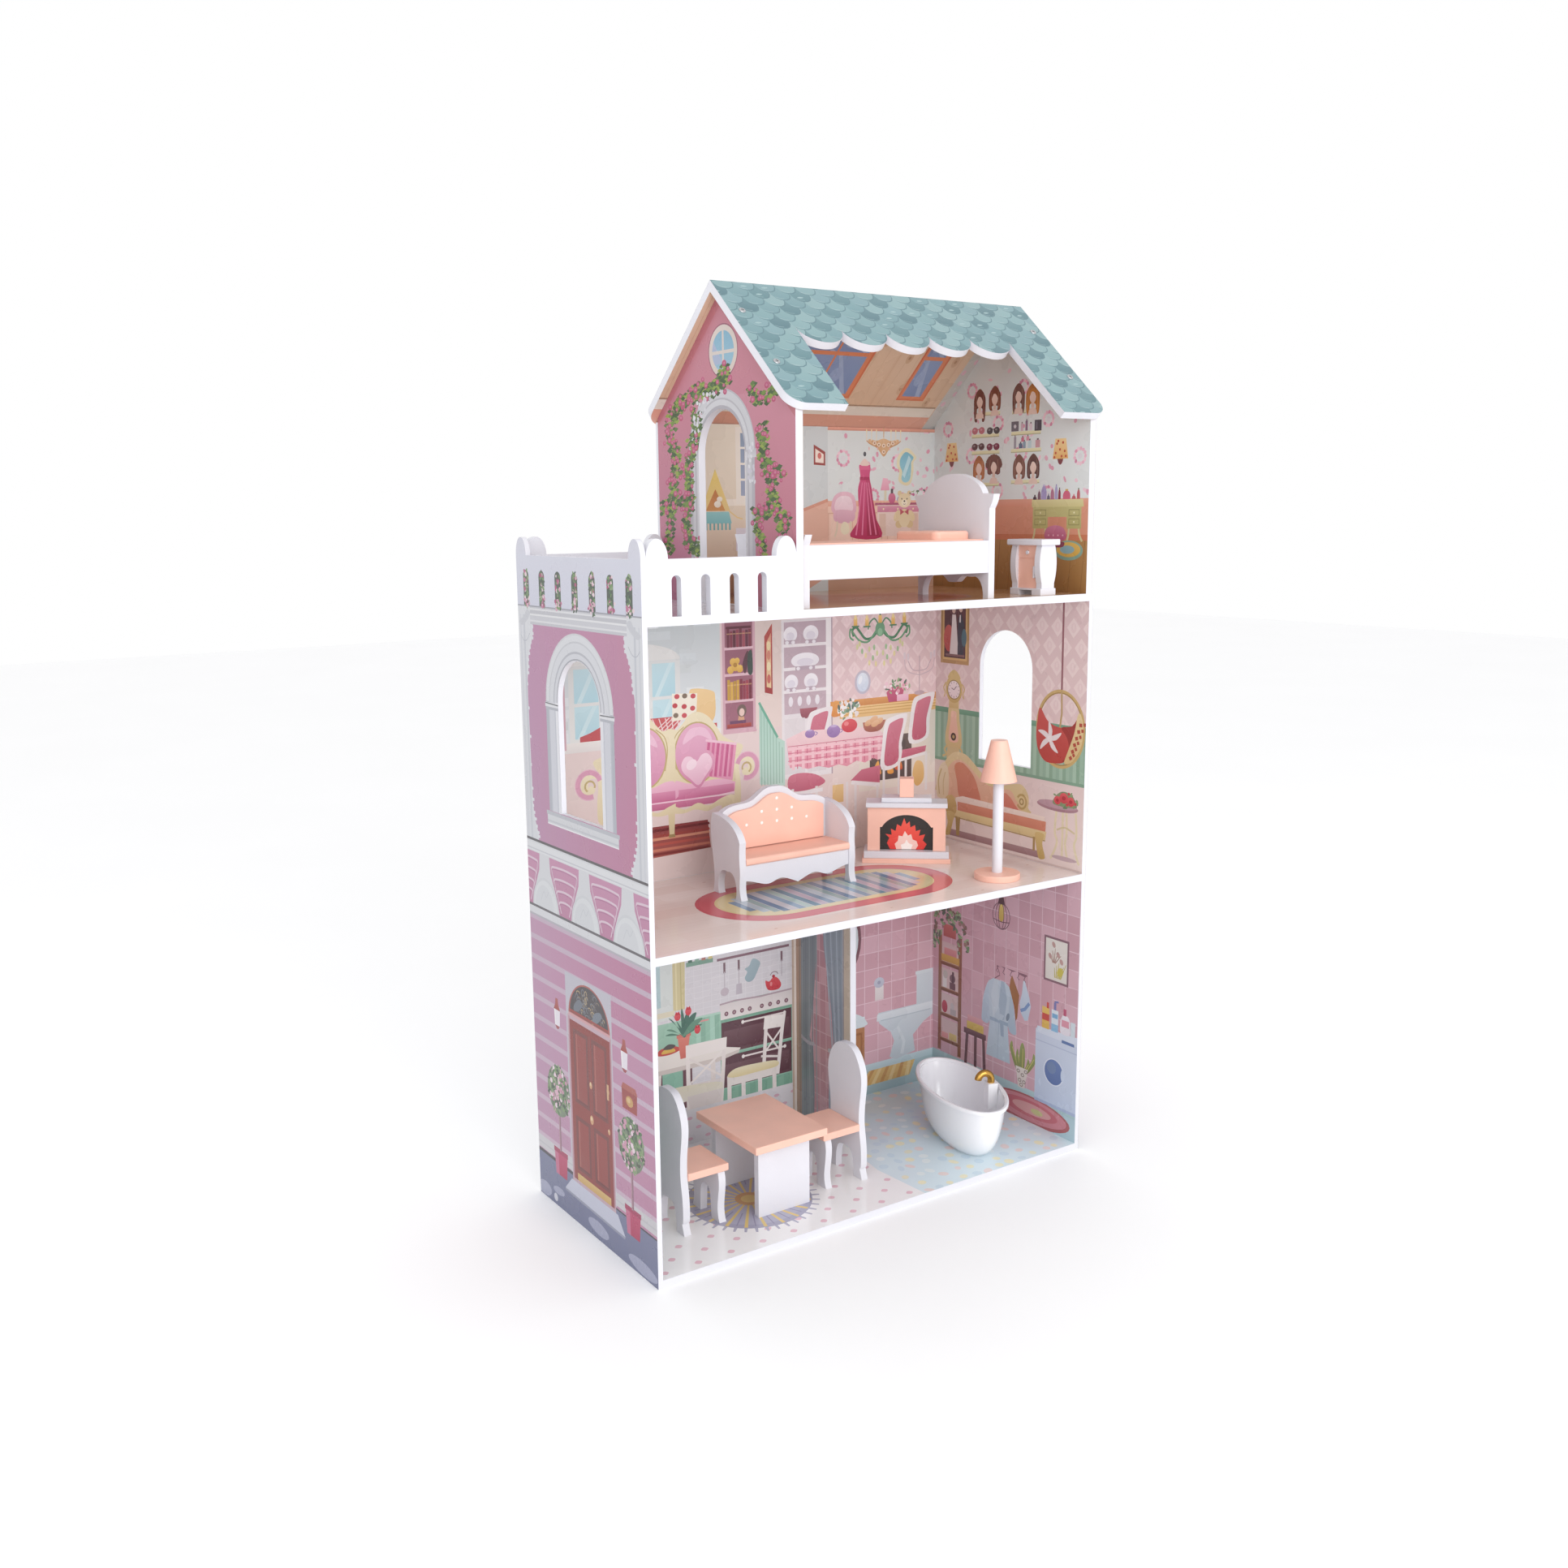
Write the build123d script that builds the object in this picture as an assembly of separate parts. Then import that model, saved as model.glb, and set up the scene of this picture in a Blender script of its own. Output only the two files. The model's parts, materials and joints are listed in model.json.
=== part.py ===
"""Open-fronted wooden dollhouse on three floors with nine loose furniture pieces.

Millimetres, +Z up, +X to the right seen from the open front, front towards -Y.
The origin is on the floor, under the middle of the house body.
"""
import os
from math import cos, radians, sin, tan

from build123d import *

# House body
WIDTH = 620.0
DEPTH = 286.0
BOARD = 9.0            # floors, upper walls, roof and railings
SIDE_BOARD = 6.0       # the two tall side walls
BACK_BOARD = 5.0
MID_TOP = 363.6        # top face of the middle floor
DECK_TOP = 709.3       # top face of the upper floor and terrace
RAIL_TOP = 766.0
KNOB_RISE = 20.0
KNOB_WIDTH = 25.0
EDGE = 0.6             # softened board edges

HALF_W = WIDTH / 2
HALF_D = DEPTH / 2
IN_X = HALF_W - SIDE_BOARD
BACK_Y = HALF_D - BACK_BOARD

# Upper storey and roof
UPPER_LEFT_X = -125.0
UPPER_RIGHT_X = 298.0
RIDGE_Z = 1057.0
ROOF_ANGLE = 42.2
ROOF_LEFT_X = -136.0
ROOF_RIGHT_X = 318.0
SLOPE_LENGTH = 205.3
STRIP_WIDTH = 72.0
SCALLOPS = 5
SCALLOP_CUSP = 74.2    # down the slope from the ridge
SCALLOP_LOW = 99.9
STRIP_CORNER = 20.0

# Openings
WINDOW_HALF = 49.0
WINDOW_SILL = 483.5
WINDOW_SPRING = 608.0
DOOR_HALF = 48.0
DOOR_SPRING = 874.0
SLOT_WIDTH = 11.0
SLOT_TOP = 750.0
SLOT_X = (-270.0, -236.0, -202.0, -168.0)

# Divider between kitchen and bathroom
DIVIDER_X = 67.4
DIVIDER_FRONT = 19.4

# Fasteners
DOWEL_R = 2.0
DOWEL_LONG = 12.0
HOLE_GAP = 0.05
SCREW_HEAD_R = 4.0
SCREW_HEAD_H = 1.4
SCREW_R = 1.7
ROOF_SCREW_Y = (39.0, 103.0)
PANEL_SCREW_X = (-262.0, -88.0, 88.0, 262.0)

# Furniture: height over its floor, plan position of each piece
BED_X = (-111.0, 158.5)
BED_Y = (-134.0, -9.0)
BED_RAIL = (29.3, 66.0)
STAND_X = (231.0, 256.0)
STAND_Y = (-134.0, -84.0)
STAND_HIGH = 65.5
SOFA_MID_X = -26.0
SOFA_FRONT_Y = -6.0
SOFA_WIDE = 168.0
SOFA_DEEP = 62.0
FIRE_FRONT = (164.8, 29.2)
FIRE_TURN = -39.7
FIRE_WIDE = 113.0
FIRE_DEEP = 42.0
LAMP_AT = (206.0, -96.0)
TABLE_MID = (-106.0, -35.0)
TABLE_TOP = (100.0, 130.0)
TABLE_HIGH = 95.0
CHAIR_Y = -38.0
CHAIR_LEFT_X = -236.0
CHAIR_RIGHT_X = 24.0
TUB_AT = (199.0, -43.0)
TUB_TURN = -18.0
TUB_HIGH = 72.5

NODES = {}


def box(x, y, z, soft=EDGE):
    """Board between three (low, high) pairs, with softened edges."""
    solid = Box(x[1] - x[0], y[1] - y[0], z[1] - z[0])
    solid = Pos((x[0] + x[1]) / 2, (y[0] + y[1]) / 2, (z[0] + z[1]) / 2) * solid
    if soft:
        solid = fillet(solid.edges(), soft)
    return solid


def across_x(face, x, thick):
    """Panel drawn in (y, z), thickness towards +X."""
    plane = Plane((x, 0, 0), x_dir=(0, 1, 0), z_dir=(1, 0, 0))
    return extrude(plane * face, thick)


def across_y(face, y, thick):
    """Panel drawn in (x, z), thickness towards +Y."""
    plane = Plane((0, y + thick, 0), x_dir=(1, 0, 0), z_dir=(0, -1, 0))
    return extrude(plane * face, thick)


def rect(a, b):
    """Rectangle sketch between two (low, high) pairs."""
    face = Rectangle(a[1] - a[0], b[1] - b[0])
    return Pos((a[0] + a[1]) / 2, (b[0] + b[1]) / 2) * face


def arch(mid, half, low, spring):
    """Round-headed opening."""
    return rect((mid - half, mid + half), (low, spring)) + Pos(mid, spring) * Circle(half)


def mirrored(half_curve, mid=0.0):
    """Closed face from the right half of an outline that starts and ends on u = 0."""
    return Pos(mid, 0) * make_face(half_curve + mirror(half_curve, about=Plane.YZ))


def knob(mid, low):
    """Rounded post top: a shoulder, then a half-ellipse."""
    dome = Ellipse(KNOB_WIDTH / 2, KNOB_RISE) & rect((-KNOB_WIDTH, KNOB_WIDTH), (0, 2 * KNOB_RISE))
    return Pos(mid, low) * dome


def roof_under(y):
    """Height of the roof's underside at a distance from the ridge line."""
    angle = radians(ROOF_ANGLE)
    return RIDGE_Z - BOARD / cos(angle) - abs(y) * tan(angle)


def dowel_places():
    """Centre and axis of every glued dowel."""
    places = []
    for y in (-110.0, 0.0, 105.0):
        for z in (BOARD / 2, MID_TOP - BOARD / 2):
            places.append(((-IN_X + 2.5, y, z), "X"))
            places.append(((IN_X - 2.5, y, z), "X"))
        places.append(((-IN_X + 2.5, y, DECK_TOP - BOARD / 2), "X"))
        places.append(((HALF_W - SIDE_BOARD / 2, y, DECK_TOP - BOARD - 1.5), "Z"))
        for x in (UPPER_LEFT_X, UPPER_RIGHT_X):
            if x == UPPER_RIGHT_X or y:
                places.append(((x + BOARD / 2, y, DECK_TOP + 1.5), "Z"))
    for y in (40.0, 115.0):
        places.append(((DIVIDER_X + BOARD / 2, y, BOARD + 1.5), "Z"))
        places.append(((DIVIDER_X + BOARD / 2, y, MID_TOP - BOARD - 1.5), "Z"))
    return places


def dowels(grow=0.0):
    """All dowels as one set, or the holes for them when grown."""
    turned = {"X": Rotation(0, 90, 0), "Z": Rotation(0, 0, 0)}
    rod = Cylinder(DOWEL_R + grow, DOWEL_LONG + 2 * grow)
    return [Pos(*at) * turned[axis] * rod for at, axis in dowel_places()]


def screw(length, grow=0.0):
    """Pan-head screw along -Z with its head's underside at the origin."""
    shank = Pos(0, 0, -length / 2) * Cylinder(SCREW_R + grow, length + 2 * grow)
    if grow:
        return shank
    head = Pos(0, 0, SCREW_HEAD_H / 2) * Cylinder(SCREW_HEAD_R, SCREW_HEAD_H)
    head = fillet(head.edges().sort_by(Axis.Z)[-1], 1.0)
    cross = Box(4.2, 0.9, 1.4) + Box(0.9, 4.2, 1.4)
    return head + shank - Pos(0, 0, SCREW_HEAD_H) * cross


def roof_screws(grow=0.0):
    """Screws through both roof slopes into the gable walls."""
    angle = radians(ROOF_ANGLE)
    made = []
    for x in (UPPER_LEFT_X + BOARD / 2, UPPER_RIGHT_X + BOARD / 2):
        for side in (-1, 1):
            for y in ROOF_SCREW_Y:
                at = Pos(x, side * y, RIDGE_Z - y * tan(angle))
                made.append(at * Rotation(-side * ROOF_ANGLE, 0, 0) * screw(26, grow))
    return made


def back_screws(grow=0.0):
    """Screws that hold the two back panels to the floors and gable walls."""
    at = [(x, z) for x in PANEL_SCREW_X for z in (4.5, MID_TOP - 4.5, DECK_TOP - 4.5)]
    at += [(x + BOARD / 2, z) for x in (UPPER_LEFT_X, UPPER_RIGHT_X) for z in (735.0, 815.0, 895.0)]
    turn = Rotation(-90, 0, 0)
    return [Pos(x, HALF_D, z) * turn * screw(18, grow) for x, z in at]


def cut(board, tools):
    """Board less every tool that meets it."""
    space = board.bounding_box()
    for tool in tools:
        b = tool.bounding_box()
        clear_x = b.min.X > space.max.X or b.max.X < space.min.X
        clear_y = b.min.Y > space.max.Y or b.max.Y < space.min.Y
        clear_z = b.min.Z > space.max.Z or b.max.Z < space.min.Z
        if not (clear_x or clear_y or clear_z):
            board = board - tool
    return board


def house():
    """Boards of the house before any hole is drilled."""
    span = (-HALF_D, HALF_D)
    inside = (-IN_X, IN_X)
    left = rect(span, (0, RAIL_TOP))
    left += knob(-HALF_D + KNOB_WIDTH / 2, RAIL_TOP)
    left += knob(HALF_D - KNOB_WIDTH / 2, RAIL_TOP)
    window = arch(0, WINDOW_HALF, WINDOW_SILL, WINDOW_SPRING)
    right = rect(span, (0, DECK_TOP - BOARD))
    gable = Polyline(
        (-HALF_D, DECK_TOP), (BACK_Y, DECK_TOP), (BACK_Y, roof_under(BACK_Y)),
        (0, roof_under(0)), (-HALF_D, roof_under(HALF_D)), close=True)
    gable = make_face(gable)
    door = arch(0, DOOR_HALF, DECK_TOP - 1, DOOR_SPRING)
    boards = {
        "left_wall": across_x(left - window, -HALF_W, SIDE_BOARD),
        "right_wall": across_x(right - window, IN_X, SIDE_BOARD),
        "ground_floor": box(inside, (-HALF_D, BACK_Y), (0, BOARD), 0),
        "middle_floor": box(inside, (-HALF_D, BACK_Y), (MID_TOP - BOARD, MID_TOP), 0),
        "upper_deck": box((-IN_X, HALF_W), (-HALF_D, BACK_Y), (DECK_TOP - BOARD, DECK_TOP), 0),
        "upper_left_wall": across_x(gable - door, UPPER_LEFT_X, BOARD),
        "upper_right_wall": across_x(gable, UPPER_RIGHT_X, BOARD),
        "lower_back_panel": box(inside, (BACK_Y, HALF_D), (0, DECK_TOP), 0),
        "upper_back_panel": box(
            (UPPER_LEFT_X, UPPER_RIGHT_X + BOARD), (BACK_Y, HALF_D),
            (DECK_TOP, roof_under(HALF_D)), 0),
        "room_divider": box(
            (DIVIDER_X, DIVIDER_X + BOARD), (DIVIDER_FRONT, BACK_Y), (BOARD, MID_TOP - BOARD), 0),
        "front_railing": railing(-HALF_D),
        "back_railing": railing(BACK_Y - BOARD),
        "front_roof": roof(True),
        "back_roof": roof(False),
    }
    return boards


def railing(y):
    """Terrace railing with round-headed slots and a knob at each end."""
    ends = (-IN_X, UPPER_LEFT_X)
    face = rect(ends, (DECK_TOP, RAIL_TOP))
    face += knob(ends[0] + KNOB_WIDTH / 2, RAIL_TOP)
    face += knob(ends[1] - KNOB_WIDTH / 2, RAIL_TOP)
    for x in SLOT_X:
        face -= arch(x, SLOT_WIDTH / 2, DECK_TOP - 1, SLOT_TOP - SLOT_WIDTH / 2)
    return across_y(face, y, BOARD)


def roof(front):
    """One roof slope, mitred at the ridge; the front one is cut to a scalloped hood."""
    angle = radians(ROOF_ANGLE)
    face = rect((ROOF_LEFT_X, ROOF_RIGHT_X), (-SLOPE_LENGTH, 10))
    for x in (ROOF_LEFT_X, ROOF_RIGHT_X):
        inward = 1 if x == ROOF_LEFT_X else -1
        corner = rect((-STRIP_CORNER, STRIP_CORNER), (-STRIP_CORNER, STRIP_CORNER))
        corner -= Circle(STRIP_CORNER)
        corner &= rect((-STRIP_CORNER, 0), (-STRIP_CORNER, 0)) if inward > 0 else \
            rect((0, STRIP_CORNER), (-STRIP_CORNER, 0))
        face -= Pos(x + inward * STRIP_CORNER, -SLOPE_LENGTH + STRIP_CORNER) * corner
    if front:
        left = ROOF_LEFT_X + STRIP_WIDTH
        right = ROOF_RIGHT_X - STRIP_WIDTH
        pitch = (right - left) / SCALLOPS
        gap = rect((left, right), (-SLOPE_LENGTH - 1, -SCALLOP_CUSP))
        drop = SCALLOP_LOW - SCALLOP_CUSP
        for i in range(SCALLOPS):
            gap -= Pos(left + (i + 0.5) * pitch, -SCALLOP_CUSP) * Ellipse(pitch / 2, drop)
        face -= gap
    normal = (0, -sin(angle), cos(angle)) if front else (0, sin(angle), cos(angle))
    side = 1 if front else -1
    plane = Plane((0, 0, RIDGE_Z), x_dir=(side, 0, 0), z_dir=normal)
    if not front:
        face = mirror(face, about=Plane.YZ)
    slab = extrude(plane * face, -BOARD)
    keep = Pos(0, -side * 200, RIDGE_Z) * Box(1000, 400, 800)
    return slab & keep


def bed():
    """Bed frame with shaped head and foot boards, a bed board and a pillow block."""
    z = DECK_TOP
    mid = (BED_Y[0] + BED_Y[1]) / 2
    half = (BED_Y[1] - BED_Y[0]) / 2
    head = Line((0, 142), (4, 142)) + Spline((4, 142), (30, 136), (51, 119), tangents=((1, 0), (0.4, -1)))
    head += Line((51, 119), (half + 7, 118)) + Spline((half + 7, 118), (half + 4, 108), (half, 102))
    head += Line((half, 102), (half, 0)) + Line((half, 0), (half - 9, 0))
    head += Spline((half - 9, 0), (half - 11, 14), (half - 17, 22), (half - 30, 24))
    head += Spline((half - 30, 24), (16, 24), (8, 18), (0, 17), tangents=((-1, 0), (-1, 0)))
    foot = Line((0, 84), (20, 84)) + Spline((20, 84), (40, 80), (54, 77), tangents=((1, 0), (1, 0)))
    foot += Line((54, 77), (half + 5, 77)) + Spline((half + 5, 77), (half + 2, 70), (half, 66))
    foot += Line((half, 66), (half, 0)) + Line((half, 0), (half - 9, 0))
    foot += Spline((half - 9, 0), (half - 11, 14), (half - 17, 22), (half - 30, 24))
    foot += Line((half - 30, 24), (0, 24))
    inner = (BED_X[0] + BOARD, BED_X[1] - BOARD)
    rail = (z + BED_RAIL[0], z + BED_RAIL[1])
    bed_y = (BED_Y[0] + BOARD, BED_Y[1] - BOARD)
    pillow = box((93, 146), (-108, -32), (z + 67.5, z + 77), 0)
    pillow = fillet(pillow.edges().filter_by(Axis.Z), 9)
    pillow = fillet(pillow.edges().group_by(Axis.Z)[-1], 3.5)
    return {
        "bed_headboard": across_x(Pos(0, z) * mirrored(head, mid), inner[1], BOARD),
        "bed_footboard": across_x(Pos(0, z) * mirrored(foot, mid), BED_X[0], BOARD),
        "bed_front_rail": box(inner, (BED_Y[0], bed_y[0]), rail),
        "bed_back_rail": box(inner, (bed_y[1], BED_Y[1]), rail),
        "bed_board": box(inner, bed_y, (z + 58.5, z + 67.5)),
        "bed_pillow": pillow,
    }


def nightstand():
    """Small cabinet facing the bed, with barrel-shaped sides."""
    z = DECK_TOP
    x0, x1 = STAND_X
    y0, y1 = STAND_Y
    low = z + 8
    top = z + STAND_HIGH - 7
    side = Spline((x0 + 2, top), (x0 - 1, z + 35), (x0 + 2.5, z + 14))
    side += Line((x0 + 2.5, z + 14), (x0 + 2.5, low))
    side += Line((x0 + 2.5, low), (x1 - 2.5, low)) + Line((x1 - 2.5, low), (x1 - 2.5, z + 14))
    side += Spline((x1 - 2.5, z + 14), (x1 + 1, z + 35), (x1 - 2, top)) + Line((x1 - 2, top), (x0 + 2, top))
    face = make_face(side)
    plinth = box((x0, x1 - 0.5), (y0 - 1, y1 + 1), (z, low))
    plinth -= Pos((x0 + x1) / 2, (y0 + y1) / 2, z + 1) * Box(60, 22, 10)
    front = box((x0 + 4, x0 + 8), (y0 + BOARD, y1 - BOARD), (low, top), 0)
    gap = Pos(x0 + 4, (y0 + y1) / 2, z + 43) * Box(1.6, y1 - y0 - 2 * BOARD, 1.2)
    button = fillet(Cylinder(2.4, 2.4).edges(), 0.7)
    knobs = [
        Pos(x0 + 2.8, (y0 + y1) / 2, z + 50) * Rotation(0, 90, 0) * button,
        box((x0 + 1.6, x0 + 4), (y0 + 12, y0 + 15), (z + 20, z + 34), 0.9),
    ]
    return {
        "nightstand_top": box((x0 - 3, x1 + 2), (y0 - 5, y1 + 5), (top, z + STAND_HIGH), 1.5),
        "nightstand_near_side": across_y(face, y0, BOARD),
        "nightstand_far_side": across_y(face, y1 - BOARD, BOARD),
        "nightstand_front": front - gap,
        "nightstand_plinth": plinth,
        "nightstand_knobs": knobs,
    }


def sofa():
    """Settee with a crested back, wavy apron and shaped arms."""
    z = MID_TOP
    half = SOFA_WIDE / 2
    y0 = SOFA_FRONT_Y
    y1 = y0 + SOFA_DEEP
    arm = Line((y0, 0), (y0 + 13, 0)) + Spline((y0 + 13, 0), (y0 + 11, 12), (y0 + 17, 27), (y0 + 31, 30))
    arm += Spline((y0 + 31, 30), (y1 - 17, 27), (y1 - 11, 12), (y1 - 13, 0)) + Line((y1 - 13, 0), (y1, 0))
    arm += Spline((y1, 0), (y1 - 3, 16), (y1 - 1, 40), (y1, 96))
    arm += Spline((y1, 96), (y1 - 12, 95), (y0 + 16, 84), (y0 + 3, 68))
    arm += Spline((y0 + 3, 68), (y0 + 4, 50), (y0 + 3, 30), (y0 + 4, 14), (y0, 0))
    arm = make_face(arm)
    inner = half - BOARD
    crest = Line((0, 120), (6, 120)) + Spline((6, 120), (18, 116), (34, 106), (56, 103), (inner, 96))
    crest += Line((inner, 96), (inner, 30)) + Line((inner, 30), (0, 30))
    pad = Line((0, 112), (6, 112)) + Spline((6, 112), (17, 108), (33, 99), (55, 96), (inner - 5, 90))
    pad += Line((inner - 5, 90), (inner - 5, 50)) + Line((inner - 5, 50), (0, 50))
    apron = Line((0, 40), (inner, 40)) + Line((inner, 40), (inner, 22))
    apron += Spline((inner, 22), (inner - 14, 19), (40, 15), (27, 19), (12, 16), (0, 11))
    seat = box((SOFA_MID_X - inner, SOFA_MID_X + inner), (y0 + 2, y1 - BOARD), (z + 40, z + 49), 0)
    seat = fillet(seat.edges().filter_by(Axis.X).group_by(Axis.Y)[0], 3.5)
    return {
        "sofa_back": across_y(Pos(SOFA_MID_X, z) * mirrored(crest), y1 - BOARD, BOARD),
        "sofa_back_pad": across_y(Pos(SOFA_MID_X, z) * mirrored(pad), y1 - BOARD - 4, 4),
        "sofa_seat": seat,
        "sofa_left_arm": across_x(Pos(0, z) * arm, SOFA_MID_X - half, BOARD),
        "sofa_right_arm": across_x(Pos(0, z) * arm, SOFA_MID_X + inner, BOARD),
        "sofa_apron": across_y(Pos(SOFA_MID_X, z) * mirrored(apron), y0 + 5, BOARD),
    }


def fireplace():
    """Fireplace with a stepped base, arched firebox, mantel and chimney block."""
    place = Pos(FIRE_FRONT[0], FIRE_FRONT[1], MID_TOP) * Rotation(0, 0, FIRE_TURN)
    w = FIRE_WIDE
    body = box((-50, 50), (8, 38), (15, 72))
    bow = Pos(0, 36) * Ellipse(34, 26)
    firebox = rect((-34, 34), (15, 46)) + (bow & rect((-34, 34), (46, 70)))
    body -= across_y(firebox, 7, 8)
    lining = across_y(firebox, 14.5, 0.5)
    parts = {
        "fireplace_foot": box((-w / 2, w / 2), (0, FIRE_DEEP), (0, 6)),
        "fireplace_base": box((-w / 2 + 2, w / 2 - 2), (2, FIRE_DEEP), (6, 15)),
        "fireplace_body": body,
        "fireplace_lining": lining,
        "fireplace_mantel": box((-52, 52), (3, 40), (72, 78)),
        "fireplace_tier": box((-32, 32), (9, 36), (78, 84)),
        "fireplace_chimney": box((-9, 9), (14, 32), (84, 108)),
    }
    return {name: place * solid for name, solid in parts.items()}


def floor_lamp():
    """Standing lamp with a conical shade."""
    at = Pos(LAMP_AT[0], LAMP_AT[1], MID_TOP)
    base = fillet(Cylinder(28, 8).edges(), 1.0)
    shade = Pos(0, 0, 146.5) * Cone(22.5, 10, 50)
    hollow = Pos(0, 0, 144.5) * Cone(19.5, 7.5, 50)
    shade = shade - hollow - Pos(0, 0, 158) * Cylinder(6.6, 20)
    return {
        "lamp_base": at * Pos(0, 0, 4) * base,
        "lamp_pole": at * Pos(0, 0, 8 + 80) * Cylinder(6.5, 160),
        "lamp_shade": at * shade,
    }


def table():
    """Dining table on two slab legs."""
    mx, my = TABLE_MID
    wx, wy = TABLE_TOP
    top = BOARD + TABLE_HIGH
    under = top - BOARD
    legs = (mx - 36, mx + 36)
    return {
        "table_top": box((mx - wx / 2, mx + wx / 2), (my - wy / 2, my + wy / 2), (under, top), 0.8),
        "table_front_leg": box(legs, (my - 48, my - 39), (BOARD, under)),
        "table_back_leg": box(legs, (my + 44, my + 53), (BOARD, under)),
    }


def chair(name, x, facing):
    """Chair with a tall round-topped back; facing is the sign of X it looks along."""
    back = Line((0, 165), (3, 165)) + Spline(
        (3, 165), (22, 156), (33, 132), (30, 96), (29, 66), (33, 34), (31, 14), (35, 0),
        tangents=((1, 0), (0.35, -1)))
    back += Line((35, 0), (18, 0)) + Spline((18, 0), (17, 18), (13, 30), (0, 34), tangents=((0, 1), (-1, 0)))
    legs = Line((0, 62), (27, 62)) + Spline((27, 62), (29, 40), (26, 18), (30, 0))
    legs += Line((30, 0), (12, 0)) + Spline((12, 0), (11, 18), (8, 34), (0, 38), tangents=((0, 1), (-1, 0)))
    back_x = x if facing > 0 else x - BOARD
    edge = x + facing * BOARD
    tip = edge + facing * 54
    leg_x = min(tip - facing * 4, tip - facing * 13)
    seat = box(sorted((edge, tip)), (CHAIR_Y - 31, CHAIR_Y + 31), (BOARD + 62, BOARD + 71), 1.2)
    return {
        name + "_back": across_x(Pos(CHAIR_Y, BOARD) * mirrored(back), back_x, BOARD),
        name + "_seat": seat,
        name + "_front_legs": across_x(Pos(CHAIR_Y, BOARD) * mirrored(legs), leg_x, BOARD),
    }


def oval(wide, long, z):
    """Ellipse across (x) and along (y) at a height."""
    return Pos(0, 0, z) * Ellipse(wide, long)


def bathtub():
    """Oval tub with a rolled rim, a tap block and a curved spout."""
    place = Pos(TUB_AT[0], TUB_AT[1], BOARD) * Rotation(0, 0, TUB_TURN)
    h = TUB_HIGH
    outer = loft([oval(26, 62, 0), oval(32, 72, 7), oval(41, 88, 36), oval(46, 97, h - 4)])
    inner = loft([oval(24, 60, 4), oval(29, 69, 10), oval(38.3, 85.3, 36), oval(43.6, 94.6, h + 1)])
    rim = extrude(oval(48.5, 100, h - 4) - oval(43.5, 94.5, h - 4), 4)
    rim = fillet(rim.edges().group_by(Axis.Z)[-1], 1.8)
    tub = outer + rim - inner
    block = Pos(34, -17, 60) * Box(13, 14, 34) & inner + extrude(oval(43.5, 94.5, h - 1), 6)
    path = Plane.XZ * (Line((0, 0), (0, 4)) + ThreePointArc((0, 4), (-9, 13), (-18, 5)))
    spout = sweep(Plane.XY * Circle(4.6), path=path)
    return {
        "bathtub_shell": place * tub,
        "bathtub_tap_block": place * block,
        "bathtub_spout": place * Pos(34, -17, 77) * spout,
    }


def build():
    """Every node by name."""
    holes = dowels(HOLE_GAP)
    shanks = roof_screws(HOLE_GAP) + back_screws(HOLE_GAP)
    for name, board in house().items():
        NODES[name] = cut(board, holes + shanks)
    NODES["dowels"] = dowels()
    NODES["roof_screws"] = roof_screws()
    NODES["back_screws"] = back_screws()
    for made in (bed(), nightstand(), sofa(), fireplace(), floor_lamp(), table(), bathtub()):
        NODES.update(made)
    NODES.update(chair("left_chair", CHAIR_LEFT_X, 1))
    NODES.update(chair("right_chair", CHAIR_RIGHT_X, -1))


build()
os.makedirs("parts", exist_ok=True)
for node, shape in NODES.items():
    solids = shape if isinstance(shape, list) else [shape]
    export_step(Compound(children=[s for piece in solids for s in piece.solids()]), f"parts/{node}.step")
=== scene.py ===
"""Looks for the wooden dollhouse: printed boards, painted furniture, camera and light."""
import json
import random
from math import cos, hypot, pi, radians, sin

import bpy
import numpy as np
from mathutils import Matrix, Vector
from mathutils.geometry import delaunay_2d_cdt


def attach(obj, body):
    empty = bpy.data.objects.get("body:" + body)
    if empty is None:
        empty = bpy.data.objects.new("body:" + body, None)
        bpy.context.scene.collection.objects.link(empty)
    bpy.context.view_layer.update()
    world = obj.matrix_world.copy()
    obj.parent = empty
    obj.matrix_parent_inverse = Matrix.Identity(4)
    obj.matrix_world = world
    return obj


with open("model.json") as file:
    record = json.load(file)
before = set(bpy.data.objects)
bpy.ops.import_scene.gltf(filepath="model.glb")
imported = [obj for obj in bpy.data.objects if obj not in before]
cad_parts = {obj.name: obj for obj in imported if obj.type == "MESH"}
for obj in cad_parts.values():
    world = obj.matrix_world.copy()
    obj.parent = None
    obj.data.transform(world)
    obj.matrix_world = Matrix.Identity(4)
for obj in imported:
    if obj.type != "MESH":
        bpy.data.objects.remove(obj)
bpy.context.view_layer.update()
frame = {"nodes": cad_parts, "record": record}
MM = 0.001

# edges of the printed faces, in millimetres in the house's frame
WIDE, DEEP, REAR = 304, 143, 138  # inner half width, half depth, front of the back boards
GROUND, LOW_CEILING = 9, 356
MIDDLE, HIGH_CEILING = 364, 701
DECK = 709

# ---------------------------------------------------------------- drawing kit
def smooth(points, steps=6, closed=False):
    """Catmull-Rom curve through points."""
    n = len(points)
    spans = n if closed else n - 1
    out = []
    for i in range(spans):
        p = [points[(i + k) % n] if closed else points[min(max(i + k, 0), n - 1)] for k in (-1, 0, 1, 2)]
        for s in range(steps):
            t = s / steps
            out.append(tuple(0.5 * (2 * b + (c - a) * t + (2 * a - 5 * b + 4 * c - d) * t * t
                                    + (3 * b - a - 3 * c + d) * t ** 3) for a, b, c, d in zip(*p)))
    return out if closed else out + [points[-1]]


def path_length(points):
    """Length of a polyline."""
    return sum(hypot(b[0] - a[0], b[1] - a[1]) for a, b in zip(points, points[1:]))


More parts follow.
